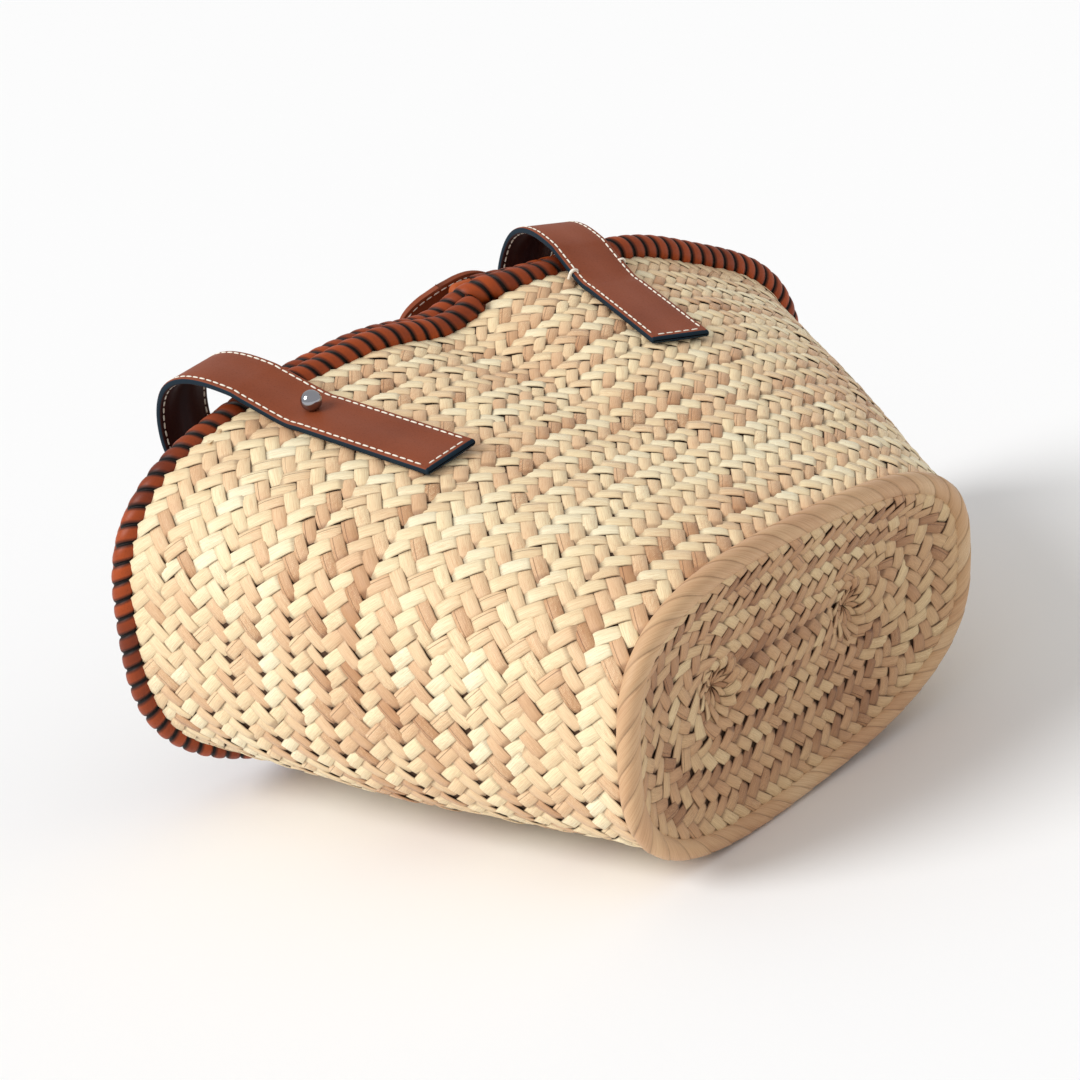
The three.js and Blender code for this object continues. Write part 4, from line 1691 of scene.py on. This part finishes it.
@dataclass
class StrapFrame:
    """The straight frame that a strap is bent in, as in the part's source."""

    surface: WallSurface
    across: float
    upper: bool
    turn: float = 0.0
    width: float = 28 * MM
    step: float = 0.01

    def __post_init__(self) -> None:
        """Finds the strap's place on the rim and its directions."""
        spots = (0.02 if self.upper else 0.52) + np.linspace(0, 0.46, 501)
        y = self.surface.middle(spots, 1)[:, 1] - self.surface.shift[1] - self.surface.size.slide
        self.around = float(spots[np.argmin(np.abs(y - self.across))])
        point, along, out, _ = self.surface.frame(np.array([self.around]), np.ones(1))
        self.point, beyond, self.out = point[0], along[0], out[0]
        if not self.upper:
            beyond, self.out = np.array([-1.0, 0.0, 0.0]), np.array([0.0, 0.0, -1.0])
        turned = Matrix.Rotation(self.turn * DEGREE, 3, Vector(self.out)) @ Vector(beyond)
        self.beyond = np.array(turned)
        self.aside = unit_vectors(np.cross(self.out, self.beyond))
        rim = self.surface.middle(self.around + np.array([self.step, -self.step]), 1)
        self.sign = -1 if (rim[0] - rim[1]).dot(self.aside) > 0 else 1

    def under(self, share: float, sideways: float) -> np.ndarray:
        """The wall's place under the strap, from the frame's own point.

        Args:
            share: Place along the wall.
            sideways: Distance from the strap's middle.

        Returns:
            The offset from the frame's point.
        """
        around, offset = self.around, np.zeros(3)
        for _ in range(4):
            offset = self.surface.middle(around, share) - self.point
            around += self.sign * (offset.dot(self.aside) - sideways) / self.surface.perimeter(share)
        return offset

    def spot(self, down: float, side: int, offset: float) -> np.ndarray:
        """Where a leg's middle lies at a distance down from the rim.

        Args:
            down: The distance.
            side: 1 outside the wall and -1 inside.
            offset: Distance from the wall's middle.

        Returns:
            Distances beyond the rim and outward.
        """
        share = 1 - down / self.surface.height
        under = [self.under(share, part * self.width) for part in (-0.5, -0.25, 0.0, 0.25, 0.5)]
        height = max(side * place.dot(self.out) for place in under) + offset
        return np.array([under[2].dot(self.beyond), side * height])


@dataclass(frozen=True)
class BandSize:
    """Sizes of a leather band and of its stitches."""

    thickness: float = 3 * MM
    clearance: float = 0.3 * MM
    leg_clearances: float = 4.7
    near: float = 21.5 * MM
    clear: float = 9 * MM
    loop_drop: float = 46 * MM
    stitch_inset: float = 2.1 * MM
    stitch_pitch: float = 4.1 * MM
    stitch_length: float = 3.3 * MM
    stitch_half_width: float = 0.48 * MM
    stitch_height: float = 0.34 * MM
    stitch_sink: float = 0.1 * MM
    line_steps: int = 220
    rings: int = 190
    paint_reach: float = 0.3 * MM
    corner: float = 0.5 * MM
    parts: tuple[float, ...] = (1.0, 0.82, 0.64, 0.48, 0.36)
    front_loop: tuple[tuple[float, float], ...] = (
        (0.0, 0.19), (0.13, 0.22), (0.42, 0.22), (0.66, 0.16), (0.84, 0.03), (0.95, -0.17), (1.0, -0.43),
        (0.98, -0.7), (0.86, -0.91), (0.65, -1.0), (0.38, -0.91), (0.14, -0.65), (0.0, -0.38),
    )
    back_loop: tuple[tuple[float, float, float], ...] = (
        (0.06, 1, 0), (0.3, 1, 0), (0.55, 1, 0), (0.78, 1, 0), (0.93, 0.7, 0), (1.0, 0, -0.06),
        (0.98, 0, -0.38), (0.82, 0, -0.6), (0.56, 0, -0.68), (0.3, 0, -0.58), (0.1, 0, -0.38),
    )
    flap_line: tuple[tuple[float, float], ...] = (
        (0.0, -0.68), (0.34, -0.95), (0.68, -1.0), (0.92, -0.74), (1.0, -0.28), (1.0, 0.03),
    )

    @property
    def leg_offset(self) -> float:
        """Distance from the wall's middle to a leg's middle."""
        return BasketSize.wall / 2 + self.leg_clearances * self.clearance + self.thickness / 2


@dataclass
class Band:
    """A leather band bent along a line in a strap's frame, with painted edges and stitches."""

    name: str
    frame: StrapFrame
    line: np.ndarray
    sizes: BandSize = BandSize()
    tip_length: float = 0.0
    tip_power: float = 2.6
    lined: bool = True
    edge_paint: float = 1.0
    ground: float = math.inf
    end_rows: tuple[bool, bool] = (True, False)

    def path(self) -> Path:
        """The band's middle line, evenly stepped.

        Returns:
            The line.
        """
        flat = smooth_line(self.line, 16, 0)
        lengths = np.concatenate([[0], np.cumsum(np.linalg.norm(np.diff(flat, axis=0), axis=1))])
        even = np.linspace(0, lengths[-1], self.sizes.line_steps)
        flat = np.stack([np.interp(even, lengths, flat[:, k]) for k in range(2)], axis=1)
        flat[:, 1] = np.minimum(flat[:, 1], self.ground)
        points = self.frame.point + flat[:, :1] * self.frame.beyond + flat[:, 1:] * self.frame.out
        return Path(points, np.broadcast_to(-self.frame.aside, points.shape))

    def half_width(self, along: np.ndarray, length: float) -> np.ndarray:
        """Half the band's width at distances along it.

        Args:
            along: The distances.
            length: The band's whole length.

        Returns:
            Half a width for each.
        """
        wide = np.full_like(along, self.frame.width)
        if self.tip_length:
            late = np.clip((along - length + self.tip_length) / self.tip_length, 0, 1)
            wide = wide * np.maximum(1 - late**self.tip_power, 0.0) ** (1 / self.tip_power)
        return wide / 2

    def build(self, leather: Material, thread: Material) -> None:
        """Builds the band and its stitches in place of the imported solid.

        Args:
            leather: The leather's finish.
            thread: The stitches' finish.
        """
        path = self.path()
        log.info("%s length %.3f m", self.name, path.length)
        band = self._leather(path)
        band.data.materials.append(leather)
        dress(band, "strap_leather", self.name)
        dress(self._stitches(path, thread), "strap_leather")

    def _section(self) -> list[tuple[float, float, float]]:
        """Half of the cut across the band, from the middle of its face to the middle of its back.

        Returns:
            Rows of a distance from the edge, a height and how much of the point is painted.
        """
        half = self.sizes.thickness / 2
        inset, sink = self.sizes.stitch_inset, 0.16 * MM
        face = [(14 * MM, half, 0.0), (6 * MM, half, 0.0), (inset + 0.55 * MM, half, 0.0),
                (inset, half - sink, 0.0), (inset - 0.55 * MM, half, 0.0),
                (0.95 * MM, half - 0.02 * MM, 0.0), (0.5 * MM, half - 0.16 * MM, 0.3),
                (0.18 * MM, half - 0.45 * MM, 1.0), (0.0, half * 0.45, 1.0)]
        back = [(edge, -height, paint) for edge, height, paint in face[::-1]]
        return face + [(-0.04 * MM, 0.0, 1.0)] + back

    def _leather(self, path: Path) -> Object:
        """The band itself, a shell that narrows to a small opening at each end.

        Args:
            path: The band's middle line.

        Returns:
            The shell.
        """
        rows = self._section()
        ends = ((0.95, 0.16), (0.8, 0.62), (0.4, 0.9))
        along = np.linspace(0, path.length, self.sizes.rings)
        grow = [(-depth * MM, flat) for depth, flat in ends]
        stations = grow + [(at, 1.0) for at in along]
        stations += [(path.length - at, flat) for at, flat in grow[::-1]]
        points, marks, backs = [], [], []
        near, corner = self.sizes.paint_reach, self.sizes.corner
        for at, flat in stations:
            at_array = np.array([np.clip(at, 0, path.length)])
            half = float(self.half_width(at_array, path.length)[0])
            paint_end = 1.0 if at <= near or at >= path.length - near else 0.0
            loop = []
            for sign in (-1, 1):
                part = [(sign * max(half - edge - corner * (1 - flat), 0.0), height * flat, paint)
                        for edge, height, paint in rows]
                loop += part[::sign]
            points.append(path.place(np.full(len(loop), at), np.array([a for a, _, _ in loop]),
                                     np.array([b for _, b, _ in loop])))
            marks.append([self.edge_paint * max(paint, paint_end) for _, _, paint in loop])
            backs.append([1.0 if b < 0 and self.lined else 0.0 for _, b, _ in loop])
        uv = np.zeros((len(points), len(marks[0]), 2))
        uv[..., 0] = np.linspace(0, 1, len(marks[0]))[None, :]
        uv[..., 1] = np.array([at for at, _ in stations])[:, None] * 10
        return MeshKit.sheet(self.name + "_leather", np.array(points), wrap_columns=True, uv=uv,
                             marks={"painted": np.array(marks), "lining": np.array(backs)})

    def _tip_stitches(self, length: float) -> list[tuple[float, float, float]]:
        """Places and headings of the stitches round a rounded tip.

        Args:
            length: The band's whole length.

        Returns:
            Distance along, distance aside and heading.
        """
        if not self.tip_length:
            return []
        inset = self.sizes.stitch_inset
        reach, half = self.tip_length - inset, self.frame.width / 2 - inset
        angle = np.linspace(0, math.pi, 400)
        power = 2 / self.tip_power
        along = length - self.tip_length + reach * np.abs(np.sin(angle)) ** power
        aside = half * np.sign(np.cos(angle)) * np.abs(np.cos(angle)) ** power
        lengths = np.concatenate([[0], np.cumsum(np.hypot(np.diff(along), np.diff(aside)))])
        even = np.arange(0.5, lengths[-1] / self.sizes.stitch_pitch) * self.sizes.stitch_pitch
        x, y = np.interp(even, lengths, along), np.interp(even, lengths, aside)
        ahead = even + 0.2 * MM
        aims = np.arctan2(np.interp(ahead, lengths, aside) - y, np.interp(ahead, lengths, along) - x)
        return list(zip(x.tolist(), y.tolist(), aims.tolist()))

    def _stitches(self, path: Path, thread: Material) -> Object:
        """Rows of stitches along both edges of both faces, and across an end.

        Args:
            path: The band's middle line.
            thread: The stitches' finish.

        Returns:
            All the stitches as one object.
        """
        sizes = self.sizes
        dots = []
        for side in Side:
            for i in range(round(path.length / sizes.stitch_pitch)):
                at = (i + 0.5) * sizes.stitch_pitch
                if sizes.stitch_inset < at < path.length - self.tip_length - sizes.stitch_inset:
                    half = self.frame.width / 2 - sizes.stitch_inset
                    dots += [(at, half, side.value, 0.0), (at, -half, side.value, 0.0)]
            for at, wanted in zip((sizes.stitch_inset, path.length - sizes.stitch_inset), self.end_rows):
                if wanted and side is Side.OUTER:
                    count = round((self.frame.width - 2 * sizes.stitch_inset) / sizes.stitch_pitch) - 1
                    dots += [(at, (i - (count - 1) / 2) * sizes.stitch_pitch, side.value, math.pi / 2)
                             for i in range(count)]
            dots += [(*dot, side.value, aim) for *dot, aim in self._tip_stitches(path.length)]
        unit = stitch("stitch", sizes.stitch_length, sizes.stitch_half_width, sizes.stitch_height)
        marks = {"face": np.array([float(dot[2]) for dot in dots]), "aim": np.array([dot[3] for dot in dots])}
        spots = MeshKit.dots(self.name + "_stitches", np.array([(*dot[:2], 0.0) for dot in dots]), marks)
        piece = CopyTree("stitches", turn=3.0, spread=0.06, seed=5).copies(unit, spots, thread)
        MeshKit.drop(unit)
        flat = MeshKit.read(piece.data)
        face = MeshKit.mark(piece.data, "face")
        height = face * (sizes.thickness / 2 - sizes.stitch_sink + flat[:, 2])
        MeshKit.write(piece.data, path.place(flat[:, 0], flat[:, 1], height))
        return piece


def stitch(name: str, length: float, half_width: float, height: float) -> Object:
    """One stitch lying along X: a rounded pillow of thread.

    Args:
        name: The object's name.
        length: Its length.
        half_width: Half its width.
        height: How far it stands up.

    Returns:
        The unit.
    """
    shares = ((-1.0, 0.15), (-0.86, 0.72), (-0.45, 1.0), (0.45, 1.0), (0.86, 0.72), (1.0, 0.15))
    angles = np.linspace(0, 2 * math.pi, 7)[:-1]
    points = [[(at * length / 2, half_width * size * math.cos(angle), height * size * math.sin(angle))
               for angle in angles] for at, size in shares]
    return MeshKit.sheet(name, np.array(points), wrap_columns=True)


@dataclass(frozen=True)
class StrapPlace:
    """Where a strap sits along the rim, how long its outer leg is and how far its loop reaches."""

    name: str
    across: float
    upper: bool
    leg: float
    reach: float
    turn: float = 0.0


@dataclass
class LeatherWork:
    """The four folded straps, the closing flap and the ball stud."""

    surface: WallSurface
    sizes: BandSize = BandSize()
    inner_leg: float = 70 * MM
    ball: float = 9 * MM
    seat: float = 0.66
    flange: float = 9 * MM
    flange_height: float = 1.2 * MM
    set_back: float = 26 * MM
    probe: float = 4 * MM
    post: float = 1.5 * MM
    pinhole: float = 0.01 * MM
    straps: tuple[StrapPlace, ...] = (
        StrapPlace("front_strap_left", -113 * MM, True, 99 * MM, 57 * MM, 4.0),
        StrapPlace("front_strap_right", 65 * MM, True, 87 * MM, 53 * MM),
        StrapPlace("back_strap_left", -82 * MM, False, 74 * MM, 57 * MM),
        StrapPlace("back_strap_right", 65 * MM, False, 74 * MM, 53 * MM),
    )
    tack_places: tuple[tuple[int, float, float], ...] = (
        (1, 76 * MM, 0.55 * MM), (-1, 72 * MM, 0.8 * MM),
    )
    tack_turns: tuple[tuple[float, float], ...] = (
        (-2.3, 1.5), (-1.6, 1.95), (-0.4, 2.0), (0.45, 1.2), (0.75, -0.4), (0.9, -2.2),
    )
    flap_across: float = 6 * MM
    flap_width: float = 60 * MM
    flap_leg: float = 50 * MM
    flap_reach: float = 38.5 * MM
    flap_drop: float = 17.5 * MM
    flap_tip: float = 24 * MM

    def leg(self, frame: StrapFrame, length: float, side: int) -> list[np.ndarray]:
        """A leg's middle line from its end towards the rim.

        Args:
            frame: The strap's frame.
            length: The leg's length.
            side: 1 outside the wall and -1 inside.

        Returns:
            Points in the frame.
        """
        sizes = self.sizes
        down = [part * length for part in sizes.parts if part * length > sizes.near + sizes.clear]
        down += [sizes.near + sizes.clear, sizes.near]
        return [frame.spot(distance, side, sizes.leg_offset) for distance in down]

    def strap(self, place: StrapPlace) -> Band:
        """One strap: an outer leg, a loop beyond the rim and an inner leg.

        Args:
            place: Where it sits.

        Returns:
            The band.
        """
        frame = StrapFrame(self.surface, place.across, place.upper, place.turn)
        outer = self.leg(frame, place.leg, 1)
        inner = self.leg(frame, self.inner_leg, -1)[::-1]
        reach, drop = place.reach, self.sizes.loop_drop
        if place.upper:
            ground = math.inf
            loop = [np.array([beyond * reach, outward * drop]) for beyond, outward in self.sizes.front_loop]
        else:
            ground = frame.point[2] - self.sizes.thickness / 2
            loop = [np.array([beyond * reach, outward * drop * (1 - share) + ground * share])
                    for beyond, share, outward in self.sizes.back_loop]
        return Band(place.name, frame, np.array(outer + loop + inner), self.sizes, ground=ground)

    def build(self, leather: Material, thread: Material,
              steel: Material) -> None:
        """Builds every leather piece and the stud.

        Args:
            leather: The leather's finish.
            thread: The stitches' finish.
            steel: The stud's finish.
        """
        bands = [self.strap(place) for place in self.straps]
        for band in bands:
            band.build(leather, thread)
        left, right = bands[:2]
        self._tacks(right, thread)
        self._flap().build(leather, thread)
        self._stud(left.frame, steel)

    def _tacks(self, strap: Band, thread: Material) -> None:
        """The thread tacks that hold the right strap to the rim, one over each edge.

        Args:
            strap: The right front strap.
            thread: The stitches' finish.
        """
        path, half = strap.path(), strap.frame.width / 2
        pieces = []
        for sign, along, radius in self.tack_places:
            aside = np.array([sign * (half + out * MM) for out, _ in self.tack_turns])
            above = np.array([up * MM for _, up in self.tack_turns])
            points = smooth_line(path.place(np.full(len(above), along), aside, above), 5, 0.5)
            pieces.append(tube("tack", Path(points, carried_sides(points)), radius, 10, 0.5 * MM, domed=True))
        tacks = MeshKit.join("front_strap_right_tacks", pieces)
        tacks.data.materials.append(thread)
        dress(tacks, "strap_leather")

    def _flap(self) -> Band:
        """The stitched flap that stands behind the rope.

        Returns:
            The band.
        """
        frame = StrapFrame(self.surface, self.flap_across, True, width=self.flap_width)
        rest = [np.array([beyond * self.flap_reach, outward * self.flap_drop])
                for beyond, outward in self.sizes.flap_line]
        line = np.array(self.leg(frame, self.flap_leg, -1) + rest)
        return Band("closing_flap", frame, line, self.sizes, tip_length=self.flap_tip, lined=False,
                    edge_paint=0.6, end_rows=(False, False))

    def _stud(self, frame: StrapFrame, steel: Material) -> None:
        """The ball stud that holds the left front strap.

        Args:
            frame: The left front strap's frame.
            steel: The stud's finish.
        """
        offset, gap = self.sizes.leg_offset, self.sizes.clearance
        outer = frame.spot(self.set_back, 1, offset)
        lower = frame.spot(self.set_back + self.probe, 1, offset)
        inner = frame.spot(self.set_back, -1, offset)
        tilt = math.atan2(outer[1] - lower[1], outer[0] - lower[0])
        depth = (outer[1] - inner[1]) * math.cos(tilt)
        top = self.sizes.thickness / 2 + 2 * gap
        bottom = -depth - top
        radius, post = self.ball / 2, self.post
        middle = top + self.seat * radius
        start = math.acos(self.seat)
        rim = 0.36 * self.flange
        profile = [(self.pinhole, bottom - self.flange_height), (rim - 0.4 * MM, bottom - self.flange_height),
                   (rim, bottom - 0.7 * self.flange_height), (rim, bottom - 0.2 * MM),
                   (rim - 0.2 * MM, bottom), (post, bottom), (post, top)]
        for angle in np.linspace(math.pi - start, 0, 22):
            profile.append((max(radius * math.sin(angle), self.pinhole), middle + radius * math.cos(angle)))
        normal = frame.out * math.cos(tilt) - frame.beyond * math.sin(tilt)
        place = frame.point + frame.beyond * outer[0] + frame.out * outer[1]
        side = frame.aside
        third = np.cross(normal, side)
        angles = np.linspace(0, 2 * math.pi, 49)[:-1]
        points = [[place + side * (r * math.cos(a)) + third * (r * math.sin(a)) + normal * h for a in angles]
                  for r, h in profile]
        stud = MeshKit.sheet("ball_stud", np.array(points), wrap_columns=True)
        stud.data.materials.append(steel)
        dress(stud, "polished_steel", "strap_stud")


@dataclass
class LooseEnds:
    """Strip tips and fine strands that stand out of the plait."""

    surface: WallSurface
    seed: int = 12
    strands: int = 120
    stand: float = 1.2 * MM
    tips: tuple[tuple[float, ...], ...] = (
        (0.3985, 1.004, 118.0, 9.0, 3.6, 2.0), (0.3905, 1.006, 104.0, 8.5, 3.2, 1.7),
        (0.318, 0.93, 20.0, 6.0, 0.9, 1.6), (0.321, 0.925, -35.0, 5.0, 0.8, 1.4),
    )

    def build(self, palm: Material) -> None:
        """Builds the tips and the strands.

        Args:
            palm: The strands' finish.
        """
        draw = np.random.default_rng(self.seed)
        blades = list(self.tips)
        for _ in range(self.strands):
            blades.append((draw.uniform(0, 1), draw.uniform(0.04, 0.98), draw.uniform(-180, 180),
                           draw.uniform(4, 10), draw.uniform(0.35, 0.9), draw.uniform(0.3, 1.3)))
        pieces = [self._blade(i, blade, draw.uniform(0, 1)) for i, blade in enumerate(blades)]
        for piece in pieces:
            piece.data.materials.append(palm)
        dress(MeshKit.join("loose_strands", pieces), "plaited_palm")

    def _blade(self, index: int, blade: tuple[float, ...], shade: float) -> Object:
        """One tapered strip that leaves the plait at its root and curls up at its tip.

        Args:
            index: Its number, for its name.
            blade: Its place round and along the wall, its heading in degrees, and its length,
                width and rise in millimetres.
            shade: Its own tint.

        Returns:
            The strip.
        """
        around, share, heading, length, width, rise = blade
        t = np.linspace(0, 1, 7)[:, None]
        across = np.array([-1.0, 0.0, 1.0])[None, :]
        x = t * length
        y = across * width / 2 * (1 - t**2.2) + 0.12 * length * t**2
        height = rise * t**1.7 - 0.1 * across**2 - 0.5 * (1 - t)
        c, s = math.cos(heading * DEGREE), math.sin(heading * DEGREE)
        ahead, aside = (x * c - y * s) * MM, (x * s + y * c) * MM
        points = self.surface.place(around + aside / self.surface.perimeter(share),
                                    share + ahead / self.surface.height, self.stand + height * MM)
        shape = (t.size, across.size)
        uv = np.stack([np.broadcast_to((across + 1) / 2, shape), np.broadcast_to(t * 0.7, shape)], axis=-1)
        marks = {"shade": np.full(shape, shade), "limb": np.full(shape, 0.3)}
        return MeshKit.sheet(f"strand_{index}", points, uv=uv, marks=marks)


@dataclass
class Studio:
    """Pale floor, soft light from the left and the camera at the photograph's angle."""

    azimuth: float = 52.79
    elevation: float = 17.74
    roll: float = -10.05
    distance: float = 1.2694
    lens: float = 100.08
    target: tuple[float, float, float] = (-154.51 * MM, 0.0, 83.86 * MM)
    sky: float = 0.62
    sun: float = 2.2
    sun_spread: float = 32.0
    sun_from: tuple[float, float, float] = (-0.5, -1.35, 1.1)

    def build(self, shift: np.ndarray) -> None:
        """Builds everything round the bag.

        Args:
            shift: The move from the source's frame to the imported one.
        """
        self._floor()
        self._world()
        self._sun()
        self._camera(shift)

    def _floor(self) -> None:
        """The plain pale floor."""
        mesh = bpy.data.meshes.new("floor")
        reach = 40.0
        corners = [(-reach, -reach, 0), (reach, -reach, 0), (reach, reach, 0), (-reach, reach, 0)]
        mesh.from_pydata(corners, [], [(0, 1, 2, 3)])
        floor = MeshKit.link("floor", mesh)
        g = Graph("pale floor")
        g.set(Base_Color=(0.94, 0.94, 0.94, 1.0), Roughness=0.9, Specular_IOR_Level=0.1)
        mesh.materials.append(g.material)

    def _world(self) -> None:
        """Even white light from all round."""
        world = bpy.data.worlds.new("studio")
        bpy.context.scene.world = world
        world.use_nodes = True
        world.node_tree.nodes["Background"].inputs["Color"].default_value = (1, 1, 1, 1)
        world.node_tree.nodes["Background"].inputs["Strength"].default_value = self.sky

    def _sun(self) -> None:
        """The large soft light from the bag's left."""
        data = bpy.data.lights.new("window light", "SUN")
        data.energy = self.sun
        data.angle = self.sun_spread * DEGREE
        light = bpy.data.objects.new("window light", data)
        bpy.context.scene.collection.objects.link(light)
        light.rotation_euler = (-Vector(self.sun_from)).to_track_quat("-Z", "Y").to_euler()

    def _camera(self, shift: np.ndarray) -> None:
        """The camera, turned about its own axis as in the photograph.

        Args:
            shift: The move from the source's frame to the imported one.
        """
        a, e, r = (angle * DEGREE for angle in (self.azimuth, self.elevation, self.roll))
        right = Vector((math.cos(a), math.sin(a), 0))
        back = Vector((math.sin(a) * math.cos(e), -math.cos(a) * math.cos(e), math.sin(e)))
        up = back.cross(right)
        turned = right * math.cos(r) + up * math.sin(r)
        upward = up * math.cos(r) - right * math.sin(r)
        data = bpy.data.cameras.new("camera")
        data.lens = self.lens
        data.sensor_width = 36
        data.sensor_fit = "HORIZONTAL"
        camera = bpy.data.objects.new("camera", data)
        bpy.context.scene.collection.objects.link(camera)
        place = Vector(self.target) + Vector(shift) + back * self.distance
        camera.matrix_world = Matrix.Translation(place) @ Matrix((turned, upward, back)).transposed().to_4x4()
        bpy.context.scene.camera = camera


def main() -> None:
    """Builds the bag and the studio round it."""
    logging.basicConfig(level=logging.INFO, format="%(message)s")
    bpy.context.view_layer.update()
    bpy.context.scene.view_settings.view_transform = "Standard"
    surface = WallSurface(BasketSize())
    palm = PalmFinish().build()
    # the inside copy is shifted towards tan and darkened as painted shade for the inside of the bag
    inner_palm = PalmFinish(name="palm leaf inside", shift=0.12, darken=0.86).build()
    # the base's finish has stronger painted tuck shade
    base_palm = PalmFinish(name="palm leaf of the base", pale="f0dcb0", straw="e0c296", tan="cfa57d",
                           brown="a87c59", shift=0.08, variety=0.6, edge_tuck_shade=0.7, end_tuck_shade=0.6).build()
    border_palm = PalmFinish(name="palm strip of the border", straw="d9b68d", tan="c69a75", shift=0.25,
                             split=1.1, variety=0.22, slant_shade=0.0, edge_tuck_shade=0.3, end_tuck_shade=0.0).build()
    # dark finish for the cores, painted as the shade in the gaps of the plait and the border
    core = GapShadeFinish().build()
    # the rope leather darkens each wrap towards its edges as painted shade
    rope_leather = LeatherFinish("rope leather", "ac4a1a", "66260e", edge="0a0605", gloss=0.38,
                                 coat=0.03, shine=0.24, wrap_edge_shade=0.7).build()
    # the rope's core, painted near black as the shade between the wraps
    rope_core = LeatherFinish("rope core", "1a0f0b", "120a08", gloss=0.6, coat=0.0).build()
    bare_end = LeatherFinish("bare rope end", "b9561c", "8e3b12", gloss=0.5, coat=0.0).build()
    strap_leather = LeatherFinish("strap leather", "8d4628", "79391f", edge="0b2230", gloss=0.46,
                                  coat=0.03, shine=0.2).build()
    PlaitedWall(surface).build(palm, inner_palm, core)
    BasePlait(surface).build(base_palm, inner_palm, core)
    Border(surface).build(border_palm, core)
    Rope(surface).build(rope_leather, rope_core, bare_end)
    LeatherWork(surface).build(strap_leather, ThreadFinish().build(), SteelFinish().build())
    LooseEnds(surface).build(palm)
    Studio().build(surface.shift)


if __name__ == "__main__":
    main()
